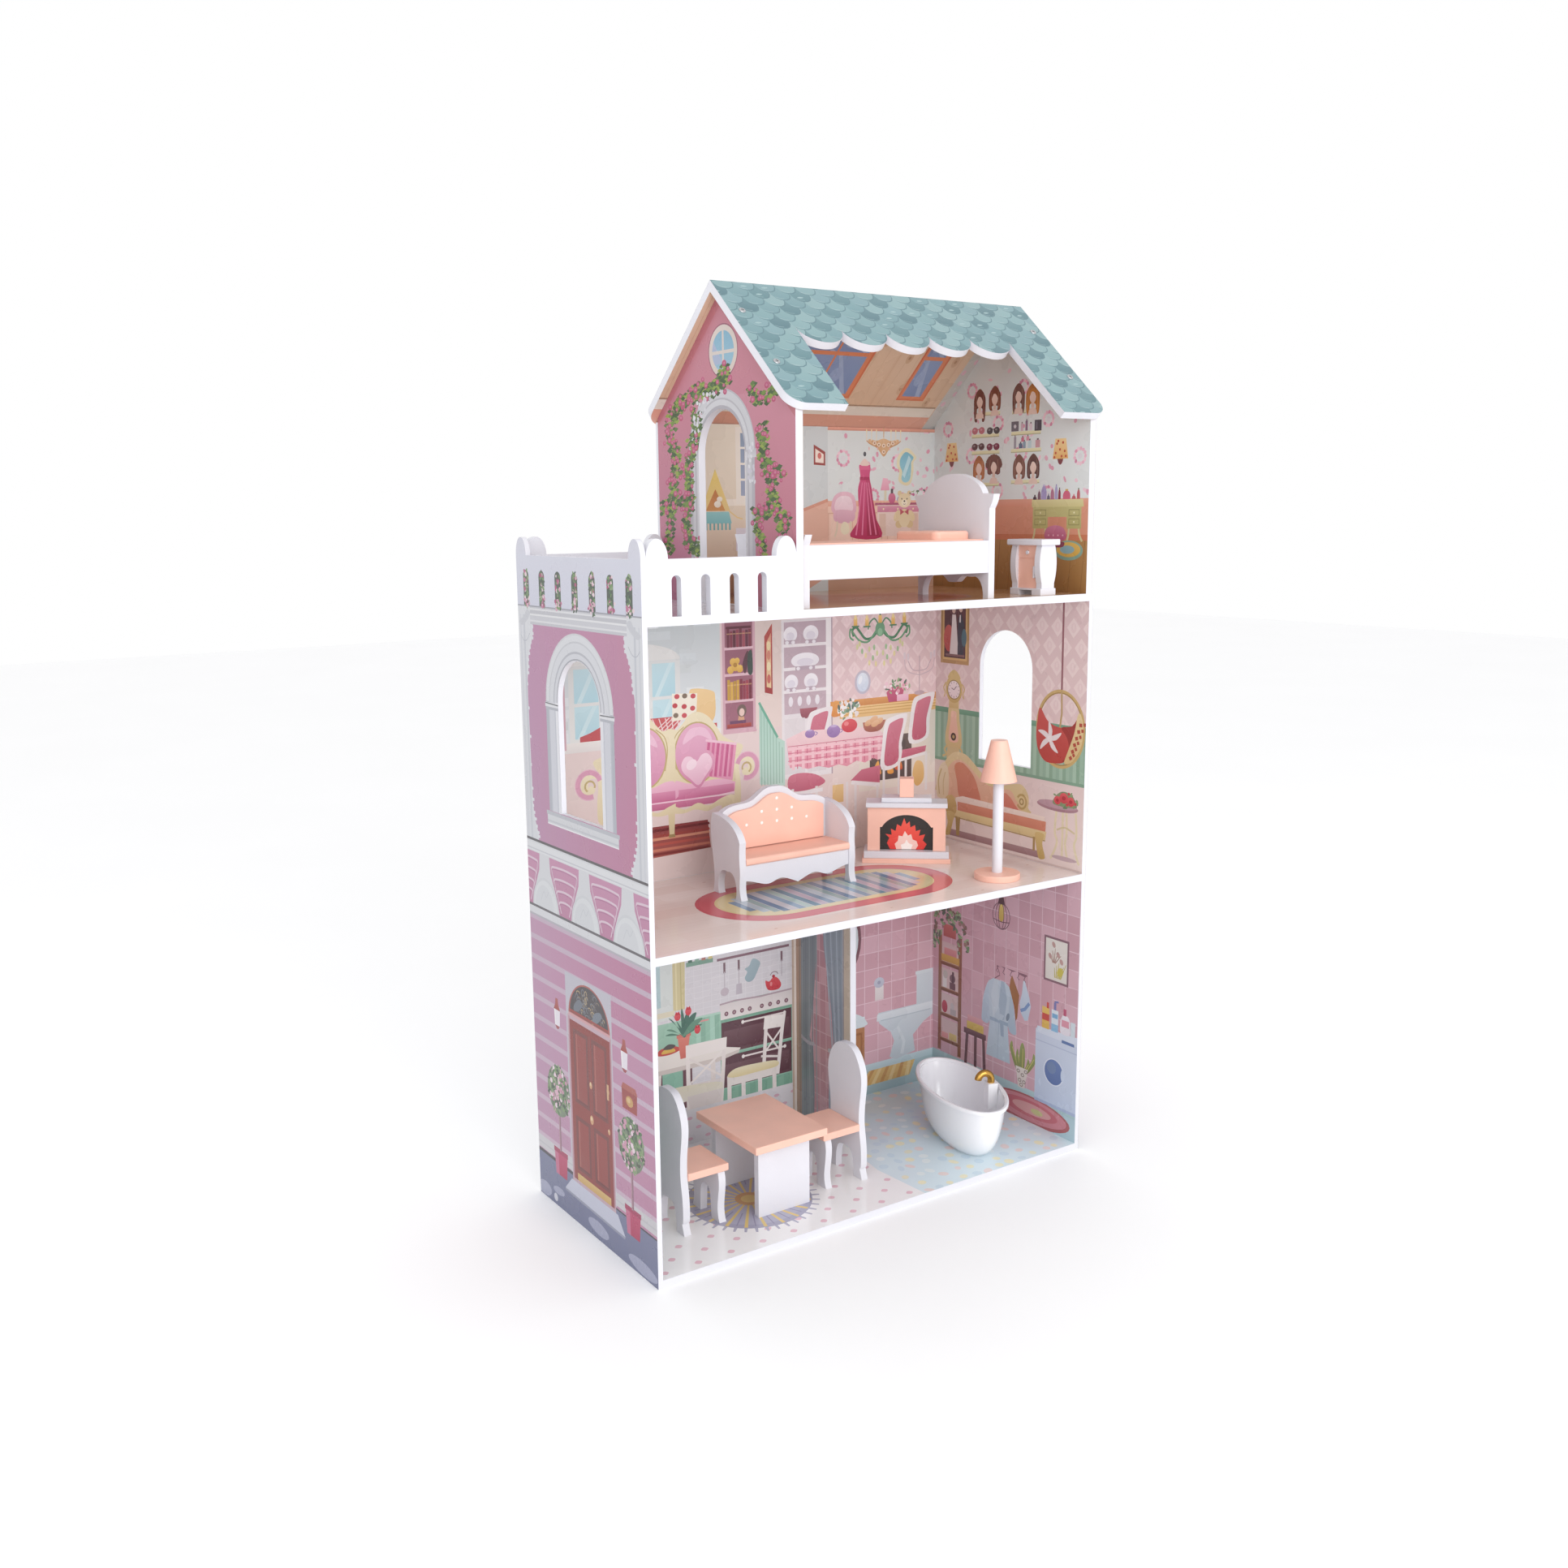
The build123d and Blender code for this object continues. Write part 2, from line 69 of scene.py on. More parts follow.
def ring(x, y, rx, ry, turn=0, start=0, stop=360, steps=28):
    """Points of an ellipse or an arc of one."""
    c, s = cos(radians(turn)), sin(radians(turn))
    whole = abs(stop - start) >= 360
    count = steps if whole else steps + 1
    out = []
    for i in range(count):
        a = radians(start + (stop - start) * i / steps)
        u, v = rx * cos(a), ry * sin(a)
        out.append((x + u * c - v * s, y + u * s + v * c))
    return out


def anticlockwise(points):
    """The same outline, turned to run anticlockwise."""
    turn = sum(a[0] * b[1] - b[0] * a[1] for a, b in zip(points, points[1:] + points[:1]))
    return points if turn >= 0 else points[::-1]


class Print:
    """Flat art in millimetres on a panel: each shape covers those before it."""

    def __init__(self, shapes=None, map2=(1, 0, 0, 1, 0, 0)):
        self.shapes = [] if shapes is None else shapes
        self.map2 = map2

    def at(self, x, y, size=1.0, turn=0.0, flip=False, tall=1.0):
        """The same sheet seen from a moved, turned and scaled origin."""
        a, b, c, d, e, f = self.map2
        co, si = cos(radians(turn)), sin(radians(turn))
        m = -size if flip else size
        p, q, r, s = co * m, si * m, -si * size * tall, co * size * tall
        return Print(self.shapes, (a * p + c * q, b * p + d * q, a * r + c * s, b * r + d * s,
                                   a * x + c * y + e, b * x + d * y + f))

    def both(self, x=0, y=0):
        """The sheet mirrored about (x, y), and as it is there."""
        return self.at(x, y, flip=True), self.at(x, y)

    def area(self, points, colour, shade=None):
        """Filled outline; shade is the colour at its top."""
        a, b, c, d, e, f = self.map2
        pts = [(a * x + c * y + e, b * x + d * y + f) for x, y in points]
        self.shapes.append((anticlockwise(pts), colour, shade))

    def rect(self, x0, y0, x1, y1, colour, shade=None):
        self.area([(x0, y0), (x1, y0), (x1, y1), (x0, y1)], colour, shade)

    def oval(self, x, y, rx, ry, colour, shade=None, **arc):
        self.area(ring(x, y, rx, ry, **arc), colour, shade)

    def blob(self, points, colour, shade=None, steps=4):
        """Filled curve through points."""
        self.area(smooth(points, steps, True), colour, shade)

    def line(self, points, width, colour, end=None, curve=0):
        """Stroke of a width, or one that changes to end."""
        if curve:
            points = smooth(points, curve)
        last = len(points) - 1
        left, right = [], []
        for i, (x, y) in enumerate(points):
            ax, ay = points[max(i - 1, 0)]
            bx, by = points[min(i + 1, last)]
            size = hypot(bx - ax, by - ay) or 1
            w = width if end is None else width + (end - width) * i / last
            dx, dy = -(by - ay) / size * w / 2, (bx - ax) / size * w / 2
            left.append((x + dx, y + dy))
            right.append((x - dx, y - dy))
        for i in range(last):
            self.area([left[i], right[i], right[i + 1], left[i + 1]], colour)

    def frame(self, x0, y0, x1, y1, w, colour):
        """Four strips around a rectangle's inside."""
        self.rect(x0, y0, x1, y0 + w, colour)
        self.rect(x0, y1 - w, x1, y1, colour)
        self.rect(x0, y0 + w, x0 + w, y1 - w, colour)
        self.rect(x1 - w, y0 + w, x1, y1 - w, colour)

    def hoop(self, x, y, rx, ry, w, colour, **arc):
        """Ring or arc band of a width."""
        self.line(ring(x, y, rx, ry, **arc) + ([] if arc.get("stop", 360) < 360 else [ring(x, y, rx, ry,
                                                                                           **arc)[0]]), w,
                  colour)


# ---------------------------------------------------------------- small motifs
GREENS = ["5F7F5A", "7E9C6B", "4C5F50", "93A87F", "55604F"]
ROSES = ["C77C9C", "E0B2C4", "B4597F", "F0D8E0"]


def sprig(p, rnd, x, y, leaf, share, greens, blooms, plump):
    """One leaf or, in a share of places, one blossom."""
    size = leaf * rnd.uniform(0.6, 1.2)
    if rnd.random() < share:
        p.oval(x, y, size * (plump + 0.05), size * plump, rnd.choice(blooms), steps=7)
    else:
        p.oval(x, y, size, size * 0.5, rnd.choice(greens), turn=rnd.uniform(0, 180), steps=7)


def foliage(p, rx, ry, count, leaf, seed, greens, blooms, share=0.3):
    """Round mass of leaves and blossoms."""
    rnd = random.Random(seed)
    for _ in range(count):
        a, r = rnd.uniform(0, 2 * pi), rnd.uniform(0, 1) ** 0.5
        sprig(p, rnd, r * rx * cos(a), r * ry * sin(a), leaf, share, greens, blooms, 0.7)


def vine(p, points, width, seed, density=0.5, leaf=3.0, blooms=ROSES, share=0.3):
    """Leaves and blossoms scattered along a line."""
    rnd = random.Random(seed)
    line = smooth(points, 8)
    for _ in range(int(path_length(line) * density)):
        x, y = line[rnd.randrange(len(line))]
        x += rnd.uniform(-width, width)
        y += rnd.uniform(-width, width)
        sprig(p, rnd, x, y, leaf, share, GREENS, blooms, 0.75)


def moulding(p, x0, y0, x1, y1, bands, colours):
    """Stack of horizontal mouldings; bands are shares of the height from the bottom."""
    y = y0
    total = sum(bands)
    for share, colour in zip(bands, colours):
        step = (y1 - y0) * share / total
        p.rect(x0, y, x1, y + step, colour)
        y += step


def stone_arch(p, half, low, spring, width):
    """Printed surround of an arched opening: pilasters, capitals and archivolt."""
    for q in p.both():
        q.rect(half - 1, low, half + width, spring, "D8D9E2")
        q.rect(half - 1, low, half + width * 0.22, spring, "ECECF2")
        q.rect(half + width * 0.22, low, half + width * 0.3, spring, "C9CBD6")
        q.rect(half + width * 0.72, low, half + width * 0.8, spring, "C3C5CF")
        q.rect(half + width * 0.8, low, half + width, spring, "B9BCC6")
    for radius, colour in ((width, "DADBDF"), (width * 0.93, "E3E4E9"), (width * 0.72, "CFD0D6"),
                           (width * 0.66, "DFE0E6"), (width * 0.36, "BFC0C8"), (width * 0.28, "DCDDE4"),
                           (width * 0.1, "A9AAB3"), (width * 0.05, "E4E4EA")):
        p.oval(0, spring, half + radius, half + radius, colour, start=0, stop=180)
    for q in p.both():
        q.rect(half - 2, spring - 6, half + width + 2, spring - 1, "E9E9EE")
        q.rect(half - 2, spring - 9, half + width + 1, spring - 6, "BBBDC6")
        q.line([(half - 1, spring - 3), (half + width + 1.5, spring - 2)], 1.3, "6E6F74")


def topiary(p, seed):
    """Ball tree in a magenta pot, base of the pot at the origin."""
    p.area([(-14, 0), (14, 0), (17, 31), (-17, 31)], "B93E63", "C75278")
    p.area([(-14, 0), (-6, 0), (-7, 31), (-17, 31)], "CF7496")
    p.rect(-18, 27, 18, 33, "B04468")
    p.rect(-2.5, 31, 2.5, 82, "9A7686")
    p.rect(-2.5, 31, -0.5, 82, "B9929F")
    p.oval(0, 106, 29, 31, "7F8F78")
    foliage(p.at(0, 106), 28, 30, 190, 4.2, seed, GREENS, ["E3B9CB", "D79DB6", "F0DCE6"], 0.3)


def lantern(p):
    """Wall lantern, middle of the glass at the origin."""
    p.rect(-1, 0, 1, 20, "A24A45")
    p.area([(-8, 8), (8, 8), (4, 15), (3, 22), (-3, 22), (-4, 15)], "A8463F", "B4605C")
    p.area([(-6, -11), (6, -11), (7.5, 8), (-7.5, 8)], "EFE9F2")
    p.area([(-6, -11), (-3.5, -11), (-4, 8), (-7.5, 8)], "F9F6FA")
    p.area([(-6, -11), (6, -11), (2, -15), (-2, -15)], "A9545C")


# ---------------------------------------------------------------- outer walls
def facade_top(p):
    """Storey with the arched window and the railing print."""
    for j in range(22):
        x0 = -143 + 13 * j
        p.rect(x0, 443, x0 + 13, 692, mixed("BF93B3", "C381A0", j / 21), mixed("C491B2", "C78AA8", j / 21))
    column = smooth([(106, 692), (107, 678), (112, 668), (119, 655), (121, 640), (125, 620), (124, 560),
                     (123, 500), (122, 480), (118, 465), (111, 450), (111, 443)], 4)
    for q in p.both():
        q.area(column + [(143, 443), (143, 712), (108, 712)], "DCDDE3", "E2E3E8")
        for k, (x, y) in enumerate(column[2:-2:2]):
            q.rect(x - 1.5 - (k * 7) % 3, y, x + 3, y + 3.4, "E3E4EA")
        q.rect(126, 443, 130, 700, "CED0D8")
        q.rect(136, 443, REAR, 700, "D3D5DD")
        q.blob([(120, 706), (128, 698), (138, 694), (140, 690), (132, 688), (120, 694), (112, 702)],
               "D2D3DA", steps=5)
        q.line([(114, 680), (122, 672), (131, 671), (138, 677)], 1.0, "BDBFC8", curve=4)
    moulding(p, -112, 690, 112, 712, (3, 2, 5, 2, 4, 2, 4), ("CDCDD4", "E6E6EA", "D3D3DA", "EDEDF0",
                                                             "C9C9D0", "E8E8EC", "CFCFD6"))
    p.rect(-DEEP, 710.5, DEEP, 790, "DADBEB", "E3E3EF")
    p.rect(-DEEP, 709.5, DEEP, 711, "A6A6B0")
    for k in range(7):
        x = -119 + 39.6 * k
        p.rect(x - 7, 711, x + 7, 743, "59625A")
        p.oval(x, 743, 7, 7, "59625A", start=0, stop=180)
        vine(p, [(x, 713), (x, 745)], 5.2, 30 + k, 1.9, 3.2, ROSES, 0.22)
        vine(p, [(x - 4, 714), (x + 5, 718)], 5, 60 + k, 1.2, 3.0, ROSES, 0.8)
    stone_arch(p, 49, 483, 607, 30)
    p.rect(-85, 467, 83, 482, "D6D8DD", "DEDFE4")
    p.rect(-87, 478, 85, 482.5, "C2C4CC")
    p.rect(-85, 470, 83, 472, "C9CBD2")
    p.rect(-85, 467, 83, 468.5, "F0F0F4")


def corbels(p):
    """Frieze of tapered fans between round niches."""
    p.rect(-DEEP, 351, DEEP, 443, "DBDCE1")
    p.rect(-DEEP, 428, DEEP, 438, "E4E5E9")
    p.rect(-DEEP, 430, DEEP, 431.5, "CDCED5")
    p.rect(-DEEP, 440, DEEP, 443.5, "5E5A5E")
    for x in (-148, -49, 49, 148):
        p.area([(x - 15, 364), (x + 15, 364), (x + 18, 376), (x + 26, 392), (x + 35, 408), (x + 37, 427),
                (x - 37, 427), (x - 35, 408), (x - 26, 392), (x - 18, 376)], "C184A5", "CB92B2")
        for high, wide, drop in ((418, 31, 26), (405, 25, 24), (392, 19, 20), (380, 14, 13)):
            arch = [(x - wide * 0.72, high - drop), (x - wide * 0.95, high - drop * 0.45),
                    (x - wide, high - 2), (x - wide * 0.8, high), (x, high + 1.2), (x + wide * 0.8, high),
                    (x + wide, high - 2), (x + wide * 0.95, high - drop * 0.45), (x + wide * 0.72,
                                                                                  high - drop)]
            p.line(arch, 2.4, "E2CBDA", curve=3)
            p.line([(a, b - 2.4) for a, b in arch], 0.9, "B2769A", curve=3)
    for x in (-99, 0, 99):
        p.oval(x, 363, 34, 37, "D5D7DC", start=0, stop=180)
        p.oval(x, 363, 31, 34, "E0E2E6", start=0, stop=180)
        p.oval(x - 3, 363, 24, 28, "D9DBE0", start=0, stop=180)
        p.line([(x - 12, 372), (x - 4, 384), (x + 2, 378), (x + 9, 386)], 0.9, "CBCDD4", curve=4)
    p.rect(-DEEP, 361, DEEP, MIDDLE, "69656B")
    p.rect(-DEEP, 350, DEEP, 361, "DDDEE3")
    p.rect(-DEEP, 350, DEEP, 352.5, "B9B6BF")


def siding(p):
    """Pink boards with pale joints."""
    p.rect(-DEEP, 58, DEEP, 350, "D3BACD", "C9B3C6")
    for k in range(12):
        y = 327 - k * 24.6
        wide = k < 2
        left, right = ("C397B5", "C27FA0") if k < 4 else ("C398B6", "C590AE")
        for j in range(22):
            x0 = -143 + 13 * j
            if wide or not -57 < x0 + 6 < 54:
                p.rect(x0, y, x0 + 13, y + 18.4, mixed(left, right, j / 21), mixed(left, right, j / 21))
    p.rect(-56, 58, 54, 301, "CFC9D6", "C6C3CF")


def front_door(p):
    """Panelled double door with a fanlight and its step."""
    p.rect(-53, 50, 52, 252, "CBAFBB")
    p.oval(0, 252, 50, 45, "B2605B", start=0, stop=180)
    p.oval(0, 256, 46, 39, "4B4449", start=0, stop=180)
    rnd = random.Random(5)
    for _ in range(46):
        a, r = rnd.uniform(8, 172), rnd.uniform(0.1, 0.92)
        x, y = 44 * r * cos(radians(a)), 256 + 37 * r * sin(radians(a))
        p.hoop(x, y, rnd.uniform(2, 4.5), rnd.uniform(2, 4), 1.2, rnd.choice(["8D7F6E", "B9A27C", "7C7F8A",
                                                                              "66606A"]), steps=9, start=0,
               stop=rnd.choice([200, 280, 359]))
    p.blob([(10, 258), (20, 260), (32, 270), (26, 274), (12, 268)], "7A828F", steps=5)
    p.blob([(-36, 260), (-24, 262), (-14, 272), (-22, 276), (-34, 268)], "737985", steps=5)
    p.line([(-46, 258), (46, 258)], 3, "A2433C")
    p.rect(-50, 252, 50, 255, "D9A4A9")
    p.rect(-49, 54, 49, 247, "98443F", "933732")
    p.rect(-1.2, 64, 1.2, 240, "8E4645")
    for x0, x1 in ((-40, -4), (4, 40)):
        for y0, y1 in ((68, 134), (150, 238)):
            p.rect(x0, y0, x1, y1, "7E403F")
            p.area([(x0 + 3, y0 + 3), (x1 - 3, y0 + 3), (x1 - 6, y0 + 6), (x0 + 6, y0 + 6)], "733839")
            p.rect(x0 + 5, y0 + 5, x1 - 5, y1 - 5, "9A4A46", "9C423E")
            p.rect(x0 + 7, y0 + 5, x0 + 9, y1 - 5, "B56A62")
    p.rect(-40, 54, 41, 63, "D4AC6B", "DDBC7C")
    for x, y, s in ((0, 141, 4.2), (0, 182, 3.2), (41, 188, 3), (41, 141, 2.6)):
        p.oval(x, y, s, s * 1.3, "D9A77E")
        p.oval(x - 0.6, y + 1.4, s * 0.5, s * 0.6, "F0D5AE")
    p.rect(38.5, 178, 43, 196, "D9B089")
    p.rect(-50.5, 54, -48, 250, "BE8E9C")
    p.rect(48, 54, 50.5, 250, "BE8E9C")
    p.area([(-56, 50), (56, 50), (72, 30), (-74, 32)], "CFD2E4")
    p.area([(-74, 32), (72, 30), (71, 27), (-74, 29)], "9FA3B7")


def facade_street(p):
    """Street storey: siding, door, lanterns, trees and pavement."""
    siding(p)
    p.rect(-DEEP, 60, DEEP, 76, "D5D3D8")
    p.rect(-DEEP, 66, DEEP, 68, "C9C8CE")
    p.rect(-DEEP, 54, -50, 59, "4D4B52")
    p.rect(52, 53, DEEP, 57, "4D4B52")
    p.rect(-DEEP, 0, DEEP, 55, "7A7F9F", "7F84A3")
    front_door(p)
    for x, y, rx, ry in ((-130, 10, 18, 9), (-92, 20, 15, 5), (8, 14, 25, 8), (110, 10, 32, 8)):
        p.oval(x, y, rx, ry, "AEB1CB", turn=5 if x < -50 else -3)
    p.oval(-101, 9, 5, 5, "DBDCE8")
    topiary(p.at(-83, 42), 3)
    topiary(p.at(91, 38), 4)
    lantern(p.at(-80, 240))
    lantern(p.at(81, 238))
    p.area([(74, 182), (106, 182), (107, 205), (73, 205)], "A9504C", "A04744")
    p.area([(72, 204), (108, 204), (104, 211), (76, 211)], "B4655C")
    p.oval(90, 193, 8, 6, "CFA268")
    p.oval(88, 194, 4, 3, "E0C08C")


def long_wall_out(p):
    """Whole outer face of a tall side wall."""
    facade_street(p)
    corbels(p)
    facade_top(p)


# ---------------------------------------------------------------- patterns
def tiled(p, x0, y0, x1, y1, colour, joint, step_x, step_y, at_x=0, at_y=0, w=1.2, shade=None):
    """Wall of tiles with joints through (at_x, at_y)."""
    p.rect(x0, y0, x1, y1, colour, shade)
    rnd = random.Random(int(step_x * 10 + at_x))
    x = at_x - step_x * int((at_x - x0) / step_x)
    while x < x1:
        y = at_y - step_y * int((at_y - y0) / step_y) - step_y
        while y < y1:
            if rnd.random() < 0.35 and x + step_x <= x1:
                tone = rnd.choice([joint, "C99AA7", "DDB4BF"]) if step_x > 15 else rnd.choice(["DAD6DC",
                                                                                               "C9C4CB"])
                p.rect(x + w, max(y, y0), x + step_x - w, min(y + step_y, y1), mixed(colour, tone, 0.2))
            y += step_y
        x += step_x
    x = at_x - step_x * int((at_x - x0) / step_x)
    while x < x1:
        p.rect(x - w / 2, y0, x + w / 2, y1, joint)
        x += step_x
    y = at_y - step_y * int((at_y - y0) / step_y)
    while y < y1:
        p.rect(x0, y - w / 2, x1, y + w / 2, joint)
        y += step_y


def mixed(a, b, t):
    """Hex colour between two."""
    return "".join("%02X" % round(int(a[i:i + 2], 16) * (1 - t) + int(b[i:i + 2], 16) * t) for i in (0, 2, 4))


def damask(p, x0, y0, x1, y1, ground, light, step=26):
    """Wallpaper of offset leaf diamonds."""
    p.rect(x0, y0, x1, y1, ground, mixed(ground, "B9979A", 0.25))
    rows = int((y1 - y0) / step) + 2
    for j in range(rows):
        y = y0 + j * step * 0.9
        x = x0 + (step / 2 if j % 2 else 0)
        while x < x1 + step:
            p.area([(x, y - step * 0.46), (x + step * 0.42, y), (x, y + step * 0.46), (x - step * 0.42, y)],
                   light)
            p.oval(x, y, step * 0.17, step * 0.24, mixed(ground, light, 0.35), steps=10)
            p.oval(x, y + step * 0.05, step * 0.06, step * 0.13, light, steps=8)
            x += step


def wreaths(p, x0, y0, x1, y1, seed):
    """Grey-blue wallpaper with rings of roses and loose petals."""
    p.rect(x0, y0, x1, y1, "DFE5E6", "D3DADA")
    rnd = random.Random(seed)
    row = 0
    y = y0 - 12
    while y < y1 + 20:
        x = x0 - 20 + (48 if row % 2 else 0)
        while x < x1 + 30:
            cx, cy, r = x + rnd.uniform(-5, 5), y + rnd.uniform(-5, 5), rnd.uniform(7.5, 9.5)
            for k in range(13):
                a = 2 * pi * k / 13
                p.oval(cx + r * cos(a), cy + r * sin(a), 2.6, 2.1, rnd.choice(["D98AA6", "E5A9BE", "C87595",
                                                                               "EFC3D2"]),
                       turn=rnd.uniform(0, 180), steps=7)
            p.oval(cx, cy, r * 0.45, r * 0.4, "D9D3DA", steps=10)
            for _ in range(9):
                p.oval(cx + 48 + rnd.uniform(-22, 22), cy + rnd.uniform(-20, 20), rnd.uniform(2, 4.6),
                       rnd.uniform(1.6, 3), rnd.choice(["E0A3B8", "D88FA8", "E9C0CE", "D5D9DA"]),
                       turn=rnd.uniform(0, 180), steps=7)
            x += 96
        y += 44
        row += 1


def stripes(p, x0, y0, x1, y1, step, colours):
    """Upright boards in repeating tones."""
    x, k = x0, 0
    while x < x1:
        p.rect(x, y0, min(x + step, x1), y1, colours[k % len(colours)])
        x += step
        k += 1


def wainscot(p, left):
    """Green boards and their rail, from left to the front edge."""
    stripes(p, left, 472, DEEP, 545, 5.8, ["7FA38C", "90B39C", "74987F", "88AC95"])
    p.rect(left, 539, DEEP, 546, "4F8266", "5E9176")


# ---------------------------------------------------------------- kitchen
def kitchen_chair(p):
    """Cream chair with a crossed back; its front left foot is at the origin, 75 wide, 100 tall."""
    p.line([(50, 0), (58, 100)], 6, "E2D6D2")
    p.line([(2, 0), (2, 100)], 6, "E9DEDA")
    p.area([(-1, 84), (60, 84), (61, 100), (0, 100)], "EBE1DD")
    p.line([(4, 82), (54, 48)], 3, "E2D6D2")
    p.line([(54, 82), (4, 48)], 3, "E9DEDA")
    p.line([(4, 46), (54, 44)], 3.4, "DDD1CE")


def potted_tulips(p):
    """Red tulips with dark leaves in a clay pot, middle of the pot's rim at the origin."""
    p.area([(-6, -30), (4, -30), (9, 2), (-10, 2)], "C85F55", "D8786A")
    p.rect(-11, -2, 10, 3, "CB6A5E")
    for tip in ((-22, 27), (-16, 30), (-25, 12), (-2, 36), (19, 27), (27, 10), (8, 30), (-27, 5), (28, 18)):
        x, y = tip
        p.blob([(-2, 0), (x * 0.55 - 3, y * 0.7 + 3), (x, y), (x * 0.5 + 3, y * 0.45), (3, 0)],
               random.Random(x * 7 + y).choice(["3F6357", "4A7361", "5A8570"]))
    for x, y in ((-9, 27), (7, 31), (20, 4)):
        p.oval(x, y, 4.6, 5.6, "C8363F", "D9525A")
        p.area([(x - 4, y + 2), (x - 2, y + 7), (x, y + 3), (x + 2, y + 7), (x + 4, y + 2)], "B92C38")


def kitchen_wall(p):
    """Kitchen: window, tools on a rail, range, green cabinets, table and chairs."""
    tiled(p, -WIDE, GROUND, 76, LOW_CEILING, "D3CED4", "DEDADF", 13, 7.5, 0, 180, 0.7)
    p.rect(-WIDE, 182, -122, LOW_CEILING, "D5DAD7", "CBD3D2")
    for x0, x1 in ((-296, -262), (-258, -224), (-220, -181), (-176, -140)):
        p.rect(x0, 200, x1, 345, "A9C4C9", "B9CFD3")
        p.area([(x0 + 4, 200), (x0 + 12, 200), (x1, 280), (x1, 300)], "BCD3D8")
        p.rect(x0, 268, x1, 272, "E3E2DC")
    for x in (-304, -122):
        p.area([(x, 192), (x + 17, 192), (x + 20, 356), (x, 356)], "CFC08E", "BFB083")
        p.rect(x + 4, 192, x + 6, 356, "DDD0A3")
        p.rect(x + 11, 192, x + 12.5, 356, "B5A672")
    p.rect(-WIDE, 186, -120, 193, "DCD3B8")
    p.rect(-102, 246, -62, 252, "6E9381")
    for k in range(4):
        p.rect(-99 + 10 * k, 251, -93 + 10 * k, 262 + (k * 5) % 9, ["3F5F52", "7FA391", "A86A60",
                                                                    "D7C17B"][k])
    p.line([(-56, 247), (56, 248)], 3.4, "7A5763")
    p.rect(-56, 290, 62, LOW_CEILING, "BFB9C2", "B3ACB8")
    p.rect(-52, 254, 58, 290, "C9C4CC")
    p.rect(-52, 288, 58, 291, "A29AA6")
    for x in (-45, -23, 44):
        p.rect(x - 1.6, 228, x + 1.6, 242, "6B4E57")
        p.rect(x - 0.7, 208, x + 0.7, 230, "B5AAB3")
    p.oval(-45, 203, 6.5, 5.5, "B9AAB4")
    p.area([(-28, 196), (-18, 196), (-19, 210), (-27, 210)], "B5ABB6")
    p.blob([(-1, 240), (10, 233), (7, 224), (-1, 211), (-10, 210), (-14, 216), (-10, 223), (-14, 228),
            (-7, 231)], "8BA1AC", "9CB0B9")
    p.hoop(32, 211, 6, 5, 1.4, "8F7C85", start=10, stop=170, steps=9)
    p.blob([(18, 206), (22, 193), (38, 191), (43, 197), (38, 206), (31, 209), (24, 204)], "B92F38", "D0444B")
    p.oval(31, 210, 2.4, 2, "A52833")
    p.oval(27, 200, 2, 3, "DF7C80", steps=8)
    stove(p)
    p.rect(-145, 124, -52, 178, "86B29C", "94BFA9")
    stripes(p, -96, 143, -52, 175, 7, ["8DBBA4", "9FCAB6", "80AD97"])
    p.rect(-98, 175, -52, 178, "A9CFBD")
    p.line([(-92, 171), (-70, 171)], 2.2, "D98B8B")
    p.rect(-WIDE, 60, -96, 120, "5F3C44")
    stripes(p, -290, 62, -110, 116, 30, ["6E9F8A", "5B3A42", "7DAE98"])
    printed_table(p)
    p.rect(-WIDE, GROUND, 76, 56, "CFCBD0", "D7D2D6")
    for k in range(14):
        for j in range(3):
            p.oval(-290 + 27 * k + 13 * (j % 2), 16 + 14 * j, 4.4, 2.2, "CE9FB0", steps=10)
    p.rect(62, GROUND, 76, LOW_CEILING, "D9CFC8", "E3D6CC")
    p.rect(60.5, 9, 63.5, 356, "B9A08E")


def stove(p):
    """Cream range with knobs, two dark ovens and green surrounds."""
    p.rect(-53, 55, 60, 188, "78A891")
    p.rect(-53, 166, 60, 187, "E2D8D6", "D5CBCC")
    p.line([(-53, 187), (-30, 188.5), (10, 186.5), (60, 187.5)], 2.2, "A58E98")
    for x in (-43, -31, -19, -7, 12, 25, 38, 51):
        p.oval(x, 173, 3.1, 3.1, "6E4A55")
        p.oval(x, 173, 1.4, 1.4, "A98A92", steps=8)
    p.rect(-53, 163, 60, 166, "6C9C85")
    for y0, y1 in ((120, 162), (73, 116)):
        p.rect(-51, y0, 59, y1, "55353C", "4B2D35")
        p.rect(-47, y0 + 4, 55, y1 - 12, "4A2A32", "5F4047")
        p.rect(-51, y0 - 1.5, 59, y0, "87B49F")
    for y in (157, 110):
        p.rect(-19, y - 1.2, 48, y + 1.2, "E3D5D3")
        p.oval(-18, y, 2.4, 2.6, "EDE3E0", steps=10)
        p.oval(48, y, 2.4, 2.6, "EDE3E0", steps=10)
    stripes(p, -53, 56, 60, 71, 9, ["74A48C", "6A9A83"])


